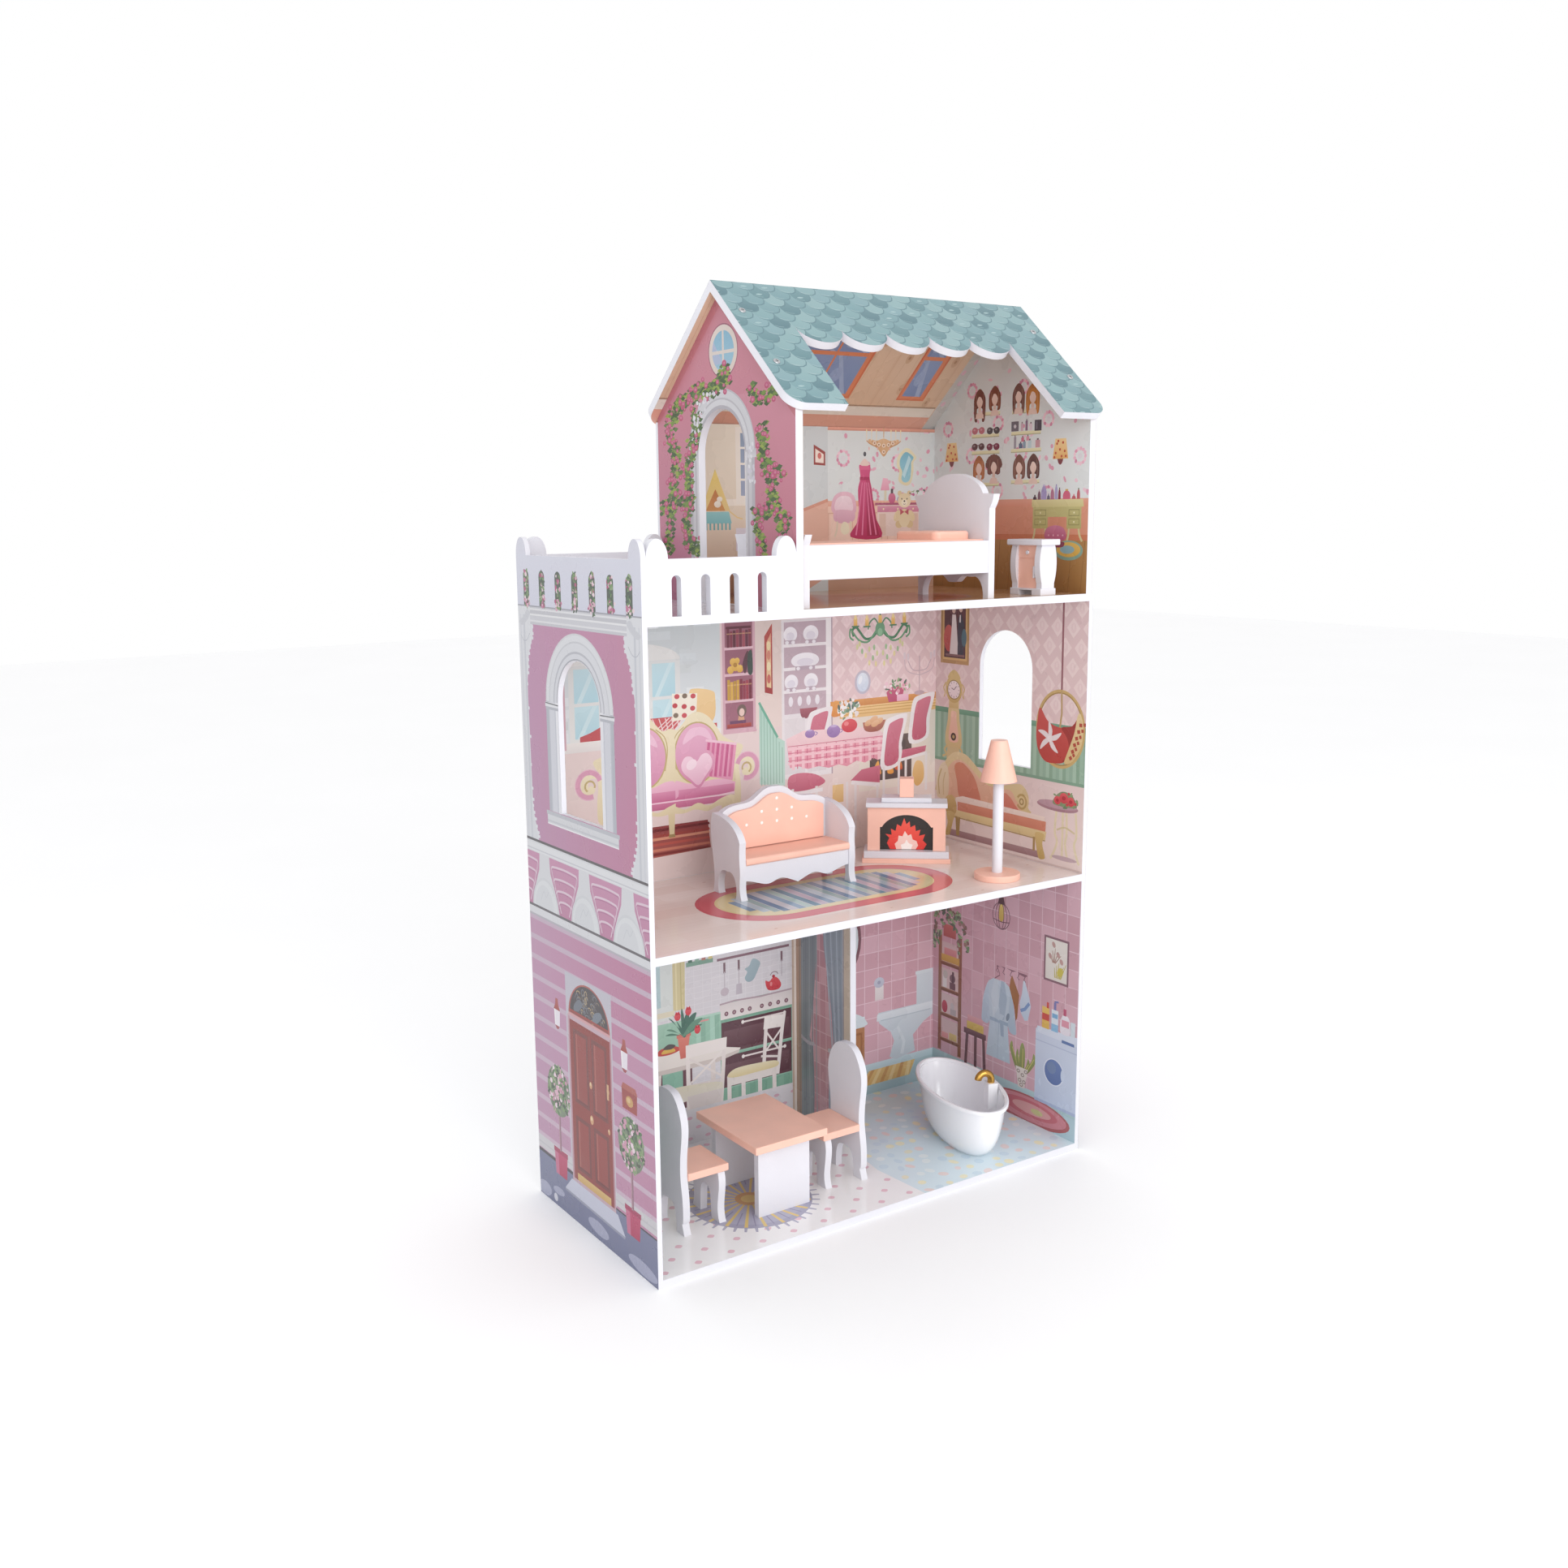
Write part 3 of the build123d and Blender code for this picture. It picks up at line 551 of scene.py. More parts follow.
def printed_table(p):
    """Cream table with fruit and tulips, and two chairs with crossed backs."""
    kitchen_chair(p.at(-200, 40))
    p.area([(-304, 117), (-304, 140), (-104, 143), (-22, 123), (-24, 120), (-56, 114)], "E4DAD3", "E9E0DA")
    p.area([(-304, 112), (-304, 118), (-56, 117), (-24, 121), (-24, 117), (-58, 111)], "C9BBB5")
    for x in (-290, -150, -64):
        p.rect(x - 4, 40, x + 3, 114, "DACDC8")
    p.blob([(-146, 138), (-143, 145), (-128, 147), (-116, 144), (-114, 139), (-130, 136)], "B8433F", steps=5)
    p.blob([(-140, 139), (-136, 144), (-124, 144), (-121, 139)], "D8A94E", steps=5)
    p.blob([(-138, 145), (-130, 150), (-120, 147), (-126, 143)], "4A4546", steps=5)
    potted_tulips(p.at(-107, 157))
    p.area([(-104, 128), (-46, 128), (-45, 142), (-105, 143)], "E6DCD8", "EDE5E1")
    kitchen_chair(p.at(-104, 42))
    p.blob([(-150, 74), (-148, 86), (-120, 90), (-92, 88), (-56, 84), (-50, 78), (-58, 72), (-120, 68)],
           "E4DDD0", "D9CFB4", 5)
    p.area([(-100, 56), (-54, 56), (-50, 74), (-104, 74)], "D9CDC9")
    p.line([(13, 74), (19, 152)], 5.5, "E3D8D5")
    p.line([(36, 74), (46, 152)], 5.5, "E9DFDC")
    p.area([(14, 140), (47, 138), (50, 155), (16, 157)], "E9E0DC", "F0E8E4")
    p.line([(17, 138), (40, 106)], 2.6, "E3D8D5")
    p.line([(43, 136), (16, 108)], 2.6, "E9DFDC")
    p.line([(10, 104), (39, 98)], 3, "E1D5D2")
    for x in (-40, -18, 8, 31):
        p.rect(x - 3.4, 26, x + 3, 88, "E4DAD6")
    p.area([(-43, 74), (33, 74), (35, 86), (-43, 88)], "E8DED9", "DDD3CE")
    p.blob([(-43, 88), (-30, 96), (4, 96), (34, 93), (35, 85), (0, 84), (-30, 84)], "D9C48C", "E4D7B4", 5)


def kitchen_rug(p):
    """Round rug with rays and a toothed rim."""
    for k in range(40):
        a = 2 * pi * k / 40
        p.line([(70 * cos(a), 70 * sin(a)), (84 * cos(a), 84 * sin(a))], 4.5, "8F8DA8", 2.6)
    # the rim and the ground turn darker towards the back: painted shade
    p.oval(0, 0, 75, 75, "7F7E9B", "77748F", steps=44)
    p.oval(0, 0, 66, 66, "8C8AA6", "827F99", steps=44)
    for k in range(20):
        a = 2 * pi * k / 20
        p.line([(14 * cos(a), 14 * sin(a)), (73 * cos(a), 73 * sin(a))], 2.4, "CFA64E", 4.2)
        p.line([(38 * cos(a + 0.157), 38 * sin(a + 0.157)), (70 * cos(a + 0.157), 70 * sin(a + 0.157))], 1.6,
               "6A6684")
    p.oval(0, 0, 17, 17, "B6763B")
    p.oval(0, 0, 10, 10, "CFA24C")


def ground_floor(p):
    """Dotted kitchen floor, blotched bathroom floor and the round rug."""
    # the floor and its dots turn darker towards the back: painted shade
    p.rect(-WIDE, -DEEP, WIDE, REAR, "F0EEF0", "E2DFE2")
    for j in range(14):
        for k in range(9):
            x = -295 + 42.1 * k + (21 if j % 2 else 0)
            p.blob([(x - 4.6, -131 + 21.3 * j), (x, -127 + 21.3 * j), (x + 4.6, -131 + 21.3 * j),
                    (x, -135 + 21.3 * j)], "DBA6B6", "D79AAC")
    # the bathroom floor turns darker towards the back: painted shade
    p.area([(56, -143), (304, -143), (304, 138), (67, 138), (62, 20), (49, -60)], "C8E0EC", "BAD3DD")
    rnd = random.Random(8)
    for j in range(15):
        for k in range(13):
            x, y = 62 + 20 * k + (10 if j % 2 else 0), -136 + 19.5 * j
            if x > 300 or rnd.random() < 0.12:
                continue
            p.oval(x + rnd.uniform(-4, 4), y + rnd.uniform(-4, 4), rnd.uniform(4.5, 7.5), rnd.uniform(4,
                                                                                                      6.5),
                   rnd.choice(["DCD9B4", "E0C6C2", "D9E8EC", "E6DFAE", "B4D0E2"]), turn=rnd.uniform(0, 180),
                   steps=10)
    kitchen_rug(p.at(-124, -35))


# ---------------------------------------------------------------- bathroom
TILE = "C999A5"
JOINT = "DDBCC6"


def bath_wall(p):
    """Bathroom back wall: tiles, toilet, paper, mirror, vanity and mat."""
    tiled(p, 76, GROUND, WIDE, LOW_CEILING, TILE, JOINT, 23.6, 23.6, 205.5, 236.5, 1.2, "BC8A96")
    p.rect(76, 42, WIDE, 53, "A9C2CA", "BAD0D7")
    p.rect(76, GROUND, WIDE, 43, "8DA7AD", "9DB7BD")
    p.oval(126, 236, 50, 60, "6A444C")
    p.oval(126, 236, 45, 55, "BFCDD2", "D3DDE0")
    p.area([(96, 215), (104, 205), (150, 268), (142, 276)], "D8E2E5")
    p.rect(80, 109, 182, 124, "C3D2D9", "D3DFE4")
    p.blob([(100, 124), (104, 134), (150, 134), (172, 128), (184, 118), (180, 110), (110, 112)], "CBD8DE",
           steps=5)
    p.rect(84, 34, 182, 109, "9A6340", "A56C46")
    for x in (88, 136):
        p.rect(x, 42, x + 42, 102, "8A5636")
        p.rect(x + 3, 45, x + 39, 99, "A87049", "A0683F")
        p.oval(x + 21, 92, 2.4, 2.4, "DCC08E")
    p.area([(172, 22), (262, 22), (272, 43), (190, 43)], "C79A58", "D4AC67")
    for k in range(6):
        p.area([(178 + 15 * k, 22), (185 + 15 * k, 22), (200 + 13 * k, 43), (194 + 13 * k, 43)],
               ["B9834A", "DDBE80"][k % 2])
    p.rect(274, 117, WIDE, 171, "BBC6CE", "C6D1D8")
    p.rect(272, 167, WIDE, 172, "CDD7DD")
    p.area([(203, 119), (206, 124), (304, 124), (304, 104), (287, 96), (268, 80), (272, 56), (238, 50),
            (226, 56), (234, 78), (228, 92), (208, 108)], "B2BFC8", "C0CBD3")
    p.area([(203, 112), (204, 122), (304, 123), (304, 113)], "CBD4DB", "D4DDE3")
    p.line([(210, 112), (300, 112)], 1.4, "A5B3BD")
    p.line([(240, 98), (252, 74), (248, 56)], 4, "C7D1D8", 6)
    p.rect(200, 143, 215, 163, "D3C9C9", "DDD5D4")
    p.oval(207, 168, 9, 7.5, "ACAFC1", "BCBFCE")
    p.oval(207, 168, 3, 2.6, "8F92A8")


def robe(p):
    """Light blue robe on a hanger, collar at the origin."""
    p.line([(-6, 22), (-1, 14), (0, 10), (-10, 3)], 1.3, "6E4650")
    p.line([(0, 10), (10, 3)], 1.3, "6E4650")
    p.blob([(-22, -4), (-31, -26), (-34, -50), (-33, -62), (-20, -62), (-16, -40), (-14, -10)], "A6BACC",
           "B7CADA")
    p.blob([(20, -4), (28, -26), (32, -50), (33, -64), (20, -62), (15, -40), (12, -10)], "9EB3C6", "B0C3D4")
    p.area([(-22, -3), (-12, 3), (10, 3), (21, -3), (17, -56), (23, -108), (-24, -108), (-18, -56)],
           "AFC3D2", "BACCDA")
    p.area([(-10, 3), (-3, 3), (0, -34), (-12, -52), (-16, -20)], "C3D3DF")
    p.area([(9, 3), (3, 3), (-1, -34), (10, -52), (15, -20)], "9DB2C5")
    p.rect(-18, -57, 18, -52, "8FA6BC")
    p.area([(2, -56), (9, -56), (10, -74), (4, -74)], "8DA3B9")
    p.oval(17, -44, 3, 6, "75879A", turn=-20)
    p.line([(0, -57), (-2, -107)], 1.1, "9BB0C3")


def ladder_shelf(p):
    """Wooden ladder shelf with towels, jars and ivy; foot at the origin, 46 wide."""
    for y in (126, 88, 51, 14):
        p.rect(4, y + 2, 40, y + 34, "D0B4B2", "C9ADAC")
    p.rect(-2, 0, 5, 172, "7C4F3E", "8A5B45")
    p.rect(40, 0, 47, 172, "754838", "835440")
    for y in (14, 51, 88, 126):
        p.rect(3, y, 42, y + 5, "6D4335")
        p.rect(3, y + 4, 42, y + 5.5, "93644B")
    p.rect(4, 132, 42, 142, "B98A3F", "C89A4B")
    p.rect(10, 142, 36, 152, "C4767A", "D08A8A")
    p.rect(8, 94, 16, 116, "DAD3D0")
    p.oval(13, 113, 5, 6, "B9AFA8")
    p.rect(22, 94, 34, 104, "5F4148")
    p.oval(28, 110, 6, 6, "6A4C54")
    p.rect(27, 104, 31, 120, "4E373E")
    p.oval(12, 66, 6, 9, "9E2E3F", "B13C4C")
    p.rect(24, 57, 36, 66, "A79B9C")
    p.oval(28, 70, 4, 5, "B9AEB0")
    p.rect(6, 20, 20, 28, "CC7F7E", "D79391")
    p.rect(22, 20, 38, 30, "C0A25F", "D2B673")
    p.rect(8, 168, 34, 186, "A34E4C", "B95F59")
    for line in ([(20, 190), (0, 206), (-12, 178), (-10, 150)], [(20, 190), (34, 204), (52, 186), (56, 160)],
                 [(8, 186), (-2, 168), (-8, 148)], [(30, 188), (42, 172), (40, 150)], [(-8, 196), (18, 206),
                                                                                       (44, 196)]):
        vine(p, line, 4, int(line[1][0] * 3 + line[2][1]), 0.5, 4.2, ["8A6A62", "755A52"], 0.25)


def bath_side(p):
    """Bathroom side wall: shelf, stool, lamp, robe, picture, plant, washer and rug."""
    tiled(p, -REAR, GROUND, DEEP, LOW_CEILING, "CB9CA8", JOINT, 22, 23.6, 10.5, 236.5, 1.2, "BF8E9A")
    p.rect(-REAR, 38, DEEP, 54, "93B0B5", "A9C5CA")
    p.rect(-REAR, GROUND, DEEP, 40, "A4C0CB", "9FBBC5")
    p.oval(58, 26, 76, 20, "9C4B4E")
    p.oval(58, 27, 70, 16.5, "C0707A")
    p.oval(60, 28, 52, 11.5, "B4545F")
    p.oval(64, 28, 36, 7.5, "CC8A8A")
    p.oval(74, 27, 11, 4, "B9AE72")
    ladder_shelf(p.at(-124, 56))
    for x, lean in ((-64, -3), (-47, 0), (-31, 3)):
        p.line([(x, 97), (x + lean, 50)], 5.6, "5B3D44")
    p.rect(-71, 96, -26, 104, "53363D", "6A4A50")
    p.rect(-65, 104, -31, 115, "C2A04A", "CFB15A")
    p.rect(-64, 115, -33, 124, "C98A90", "D59DA2")
    p.line([(0, 300), (0, 356)], 1.6, "5A3F42")
    p.oval(0, 283, 5.5, 13, "B9963F", "D9BC60")
    for w in (5, 11, 16.5):
        p.hoop(0, 278, w, 18, 1.1, "5F3F47")
    p.line([(-16, 272), (0, 270), (16, 272)], 1.2, "5F3F47", curve=4)
    p.area([(-7, 294), (7, 294), (4, 304), (-4, 304)], "4C3338")
    p.line([(-6, 208), (51, 208)], 2.4, "7C5662")
    for x in (-5, 8, 22, 36, 48):
        p.line([(x, 207), (x - 3, 201), (x + 1, 199)], 1.4, "7C5662")
    robe(p.at(-1, 186))
    p.area([(20, 196), (23, 202), (30, 190), (37, 178), (34, 146), (31, 141), (28, 160), (18, 184)],
           "8B5636", "9A6440")
    p.area([(44, 200), (47, 200), (56, 180), (59, 168), (54, 148), (48, 146), (40, 156), (38, 168),
            (42, 182)], "B4C4D8", "C5D3E3")
    p.line([(40, 158), (48, 162), (56, 172)], 4.5, "6F8CBC")
    p.rect(81, 212, 125, 272, "7A5862")
    p.rect(84, 215, 122, 269, "D9D2C9", "E2DCD3")
    for k in range(5):
        p.line([(97 + k, 238), (91 + 5 * k, 258 - abs(2 - k) * 4)], 1.6, "9A7468", 0.8)
    for k in range(6):
        p.line([(101 + k * 2, 219), (100 + 4 * k, 232 + (k % 3) * 4)], 1.5, "AFA03F", 0.8)
    for x, y in ((92, 246), (106, 250), (98, 262), (112, 242)):
        p.oval(x, y, 3, 4.2, "B58D86", turn=30, steps=9)
    p.oval(110, 228, 5, 7, "C2B34B", turn=-30, steps=10)
    for tip, w in (((25, 112), 6), ((36, 104), 5), ((45, 115), 8), ((56, 96), 6), ((66, 106), 6)):
        base = 44 + (tip[0] - 44) * 0.35
        p.blob([(base - w / 2, 74), (tip[0] - w / 1.6, tip[1] - 12), tip, (tip[0] + w / 1.6, tip[1] - 12),
                (base + w / 2, 74)], "767A48", "86924F")
        p.line([(base + 1, 76), (tip[0] + 1, tip[1] - 8)], 1.2, "C3B666")
    p.area([(33, 80), (56, 80), (50, 52), (38, 52)], "D3C6BF", "DFD4CC")
    for x, y in ((38, 74), (46, 70), (41, 62), (49, 61), (52, 76), (44, 56)):
        p.oval(x, y, 3.4, 2.8, "8B7C74", steps=8)
        p.oval(x, y, 1.8, 1.4, "DDD2CA", steps=8)
    washer(p)


def washer(p):
    """Light blue washing machine with bottles on top."""
    p.rect(69, 44, DEEP, 143, "B3BFD8", "C1CCE0")
    p.area([(69, 138), (72, 147), (143, 150), (143, 138)], "CFD8E8")
    p.rect(69, 127, DEEP, 128.4, "A5B2CE")
    p.rect(116, 136, REAR, 140, "4F679A")
    p.oval(103, 92, 18.5, 18.5, "D3DAEA")
    p.oval(103, 92, 16.5, 17, "4C6196", "5C72A6")
    p.oval(99, 97, 8, 8, "62779F")
    p.oval(119, 92, 3.4, 8, "BECAE0")
    p.rect(69, 44, DEEP, 48, "97A5C6")
    p.rect(80, 147, 93, 176, "D9A94C", "E2B95E")
    p.rect(80, 158, 93, 167, "C2473F")
    p.rect(88, 175, 92, 183, "C2473F")
    p.rect(97, 147, 109, 176, "CBD8E4", "DCE5ED")
    p.rect(97, 147, 109, 157, "7FB1D6")
    p.rect(98, 165, 108, 171, "6FA2CC")
    p.rect(101, 176, 105, 186, "6C6FA8")
    p.line([(102, 187), (109, 188)], 2.6, "6C6FA8")
    p.blob([(114, 149), (113, 164), (118, 174), (127, 172), (130, 162), (129, 149)], "DDD6E0", "E8E2EA", 5)
    p.rect(115, 158, 128, 167, "D58A9C")
    p.rect(118, 173, 123, 182, "B5506C")
    p.rect(131, 149, 139, 168, "C9D6DE")


def curtains(p):
    """Two grey-blue curtains held apart before a tiled room."""
    tiled(p, -REAR, GROUND, -19, 355, "B98088", "CBA0A8", 14, 22, -85, 120, 1.4, "A4707A")
    left = [(-128, 355), (-88, 355), (-91, 250), (-99, 180), (-108, 128), (-100, 118), (-97, 60), (-99, 9),
            (-130, 9)]
    right = [(-82, 355), (-31, 355), (-31, 9), (-66, 9), (-66, 60), (-64, 118), (-52, 132), (-62, 190),
             (-76, 260)]
    p.area(left, "7B8688", "717981")
    p.area(right, "8E99A8", "7C8793")
    for k in range(5):
        x = -124 + 8 * k
        p.line([(x, 355), (x + 0.5, 240), (x - 1, 120), (x + 1, 9)] if x > -112 else [(x, 355), (x, 9)], 2.2,
               ["8B9399", "6C747C"][k % 2])
    for k in range(7):
        x = -78 + 7 * k
        low = -58 + 4 * k
        p.line([(x, 355), (x + (low - x) * 0.3, 260), (low, 130), (low - 2, 9)], 2.4,
               ["A0ABB9", "7A8593"][k % 2])
    p.line([(-128, 124), (-112, 119), (-97, 121)], 5, "A9A4AC", curve=4)
    p.line([(-67, 121), (-50, 126), (-32, 124)], 5, "A9A4AC", curve=4)
    p.rect(-REAR, GROUND, -127, 355, "A88C78", "B58E78")
    p.rect(-131, 9, -128.5, 355, "8C7A70")
    p.rect(-33, GROUND, -19, 355, "CDBDA9", "B5A28F")
    p.rect(-35, 9, -32.5, 355, "93898A")


def curtains_back(p):
    """Bathroom face of the divider: tiles with a shelf of jars and a round mirror."""
    tiled(p, 19, GROUND, REAR, 355, TILE, JOINT, 22, 23.6, 30, 236.5, 1.2, "BC8A96")
    p.rect(19, 38, REAR, 52, "A9C2CA")
    p.rect(19, GROUND, REAR, 39, "9DB7BD")
    p.oval(80, 240, 33, 42, "7A5158")
    p.oval(80, 240, 29, 38, "C5D3D8", "D7E1E4")
    p.area([(62, 222), (70, 215), (98, 258), (92, 264)], "DEE7EA")
    p.rect(44, 172, 118, 177, "8A5B45")
    for x, c in ((50, "7FB1D6"), (62, "D9A94C"), (75, "DDD6E0"), (88, "C98A90"), (102, "8BA58A")):
        p.rect(x, 177, x + 8, 196, c)
        p.rect(x + 2, 196, x + 6, 201, "6E5A60")


def lower_back(p):
    """Whole face behind the two lower storeys."""
    kitchen_wall(p)
    bath_wall(p)
    living_back(p)


def right_inside(p):
    """Whole inner face of the right wall."""
    bath_side(p)
    lounge_side(p)

# ---------------------------------------------------------------- living room
GOLD = "D6C49B"
GOLD_DARK = "B39A63"


def bookcase(p):
    """Mauve bookcase, lower left corner at the origin, 46 wide and 158 tall."""
    p.rect(-4, -6, 46, 158, "C99AA8", "BD8E9C")
    p.rect(0, 0, 41, 158, "8E5566", "7C4656")
    for y in (33, 66, 99):
        p.rect(-1, y, 42, y + 3.4, "D3A9B5")
    shelves = ((102, 23, ["5A2230", "6E2737", "4A1C28", "7C2F3E", "5A2230", "8A3A46", "4F2030", "6B2836"]),
               (36, 26, ["B98A2E", "C99A3C", "A87C2A", "C08F35", "6E2130", "7E2A3A", "8C2F3C", "5F1E2C"]))
    for y, tall, tones in shelves:
        for k, tone in enumerate(tones):
            p.rect(3 + 4.6 * k, y, 7 + 4.6 * k, y + tall - (k * 3) % 4, tone)
            p.rect(3 + 4.6 * k, y + tall * 0.7, 7 + 4.6 * k, y + tall * 0.76, mixed(tone, "E0B870", 0.5))
    p.rect(2, 125, 39, 128, "4A1C28")
    for x, y, r in ((8, 74, 5), (15, 78, 6), (22, 75, 5), (12, 84, 5), (18, 85, 4)):
        p.oval(x, y, r, r, "C8923A", "DDB04E", steps=9)
    p.oval(15, 80, 3, 3, "9C6A28", steps=8)
    p.blob([(28, 70), (26, 80), (31, 94), (35, 96), (34, 84), (31, 70)], "4A2A33", steps=5)
    p.blob([(34, 69), (34, 92), (40, 96), (41, 69)], "2F3A34", steps=5)
    p.rect(2, 1, 38, 6, "8A2C2C", "A0403A")
    p.rect(6, 6, 30, 10, "5C3350")
    p.area([(18, 10), (28, 10), (26, 20), (20, 20)], "C7906E")
    p.oval(24, 22, 7, 8, "5E4A44")
    p.oval(24, 20, 4, 5, "DDB9AE")


def heart(p, size, colour, shade):
    """Heart cushion."""
    right = [(0, -0.95), (0.5, -0.5), (0.95, -0.02), (1.0, 0.42), (0.72, 0.78), (0.34, 0.74), (0, 0.42)]
    left = [(-x, y) for x, y in right[-2:0:-1]]
    p.blob([(x * size, y * size) for x, y in right + left], colour, shade)


def sofa_half(p):
    """Right half of the printed sofa, its middle at x = 0."""
    p.area(smooth([(0, 470), (0, 545), (16, 549), (24, 556), (34, 566), (46, 569), (60, 563), (72, 550),
                   (82, 536), (100, 526), (112, 520), (103, 500), (104, 462)], 4) + [(0, 462)], GOLD,
           "E4D7B4")
    p.line([(14, 500), (10, 525), (14, 542), (26, 552)], 1.4, GOLD_DARK, curve=4)
    p.oval(44, 518, 33, 39, GOLD_DARK)
    p.oval(44, 518, 31, 37, "C87A9E", "DDA0BC", steps=40)
    p.blob([(24, 530), (34, 548), (56, 548), (66, 532), (46, 540)], "E5B4CB")
    p.area([(0, 476), (104, 476), (104, 470), (0, 470)], "D58CAB")
    p.blob([(0, 484), (14, 486), (36, 480), (74, 482), (98, 476), (100, 466), (60, 462), (0, 463)], "D990B0",
           "E6AFC6", 5)
    p.rect(0, 462, 98, 474, "BA5A82", "CF7FA1")
    p.line([(0, 461), (60, 460), (99, 463)], 1.8, "EAC0D2")
    p.rect(0, 452, 98, 460, "B4587D", "C2698D")
    p.area([(0, 458)] + smooth([(0, 458), (12, 454), (26, 449), (44, 455), (60, 450), (78, 457), (92, 460),
                                (102, 458)], 4) + smooth([(104, 447), (90, 445), (74, 448), (58, 443),
                                                          (40, 447), (22, 444), (0, 447)], 4), GOLD, "E2D3AC")
    p.blob([(98, 446), (100, 480), (98, 500), (106, 508), (122, 506), (129, 494), (124, 482), (114, 482),
            (110, 488), (116, 493), (119, 490), (118, 500), (108, 500), (106, 490), (108, 470), (107, 448)],
           GOLD, "E4D7B4")
    p.hoop(118, 494, 15, 15, 6, "CE8BA7", start=-110, stop=165, steps=16)
    p.hoop(118, 494, 18.4, 18.4, 1.2, "DBA9BD", start=-110, stop=165, steps=16)
    p.hoop(117, 492, 6.5, 6.5, 2.4, GOLD_DARK, start=-60, stop=200, steps=12)


def lounge_left(p):
    """Left part of the living room wall: window, cushions, bookcase and sofa."""
    p.rect(-WIDE, MIDDLE, 130, HIGH_CEILING, "DDC6C2", "D9C3C2")
    p.rect(-WIDE, 540, -44, HIGH_CEILING, "D5DCE0", "BCC5C8")
    rnd = random.Random(11)
    for _ in range(60):
        x, y = rnd.uniform(-300, -80), 548 + 14 * rnd.randrange(11)
        p.rect(x, y, x + rnd.uniform(14, 30), y + 10, rnd.choice(["CBD4D8", "D9DFE2", "C4CCCE"]))
    p.rect(-253, 544, -102, 640, "DDDEDC", "D3D7D7")
    p.oval(-178, 636, 76, 22, "DDDEDC", start=0, stop=180)
    for x0, x1 in ((-246, -214), (-209, -180), (-175, -146), (-141, -109)):
        for y0, y1 in ((550, 588), (592, 632)):
            p.rect(x0, y0, x1, y1, "A5CFDC", "B9DAE3")
            p.area([(x0 + 3, y0), (x0 + 9, y0), (x1 - 2, y1), (x1 - 8, y1)], "C4E0E7")
    p.rect(-WIDE, 534, -44, 546, "D9D2D0", "E5DFDC")
    bookcase(p.at(-304, 544))
    bookcase(p.at(-37, 543))
    p.area([(-145, 566), (-98, 566), (-112, 548), (-128, 546)], "BB4549")
    p.area([(-240, 546), (-200, 546), (-203, 566), (-226, 556), (-240, 552)], "B33F44")
    for k in range(5):
        p.line([(-142 + 9 * k, 565), (-134 + 7 * k, 548)], 1.3, "E7C9C9")
        p.line([(-118 + 6 * k, 565), (-140 + 7 * k, 549)], 1.3, "E7C9C9")
    p.blob([(-90, 556), (-90, 592), (-82, 598), (-58, 594), (-52, 586), (-56, 556)], "DDB276", "E9C48A")
    p.area([(-114, 560), (-80, 562), (-78, 592), (-114, 594)], "E9E0CC", "EFE8D8")
    for x, y in ((-107, 590), (-96, 590), (-84, 589), (-110, 579), (-97, 577), (-85, 574), (-109, 567),
                 (-97, 566)):
        p.oval(x, y, 3.8, 3.2, random.Random(x * 3 + y).choice(["BC3E46", "B2333C", "6E5A4A"]), steps=10)
    p.rect(-60, 546, -50, 553, "B33A3C")
    p.area([(-304, 388), (-62, 396), (-66, 432), (-304, 432)], "9C4A42", "7A2F30")
    for y, c in ((396, "6E2523"), (401, "C06A54"), (408, "A8443A"), (415, "CE8266"), (419, "8C3530"),
                 (426, "5E2022")):
        p.area([(-304, y - 2), (-63, y), (-64, y + 3), (-304, y + 2.5)], c)
    for x in (-208, -118, -40):
        p.area([(x - 3.4, 417), (x + 3.4, 417), (x + 5, 449), (x - 5, 449)], "CDB98C", GOLD)
        p.rect(x - 4.5, 416, x + 4.5, 420, "8C7448")
    for flip in (False, True):
        sofa_half(p.at(-124 + (12 if flip else 0), 0, flip=flip))
    q = p.at(-46, 502, turn=-6)
    q.area([(-26, -16), (20, -22), (22, 24), (-22, 28)], "D887A8")
    for k in range(6):
        q.area([(-22 + 7 * k, -17), (-18 + 7 * k, -17.5), (-17 + 7 * k, 25), (-21 + 7 * k, 25.5)],
               ["B84A78", "C25A85"][k % 2])
    q.line([(-24, 28), (22, 24)], 3, "E8B8CB")
    heart(p.at(-80, 498, turn=4), 26, "C77699", "D58FAD")
    heart(p.at(-80, 498, turn=4), 22, "DFA6BF", "ECC6D6")
    p.oval(-88, 504, 8, 6, "F0D3DF", turn=30)


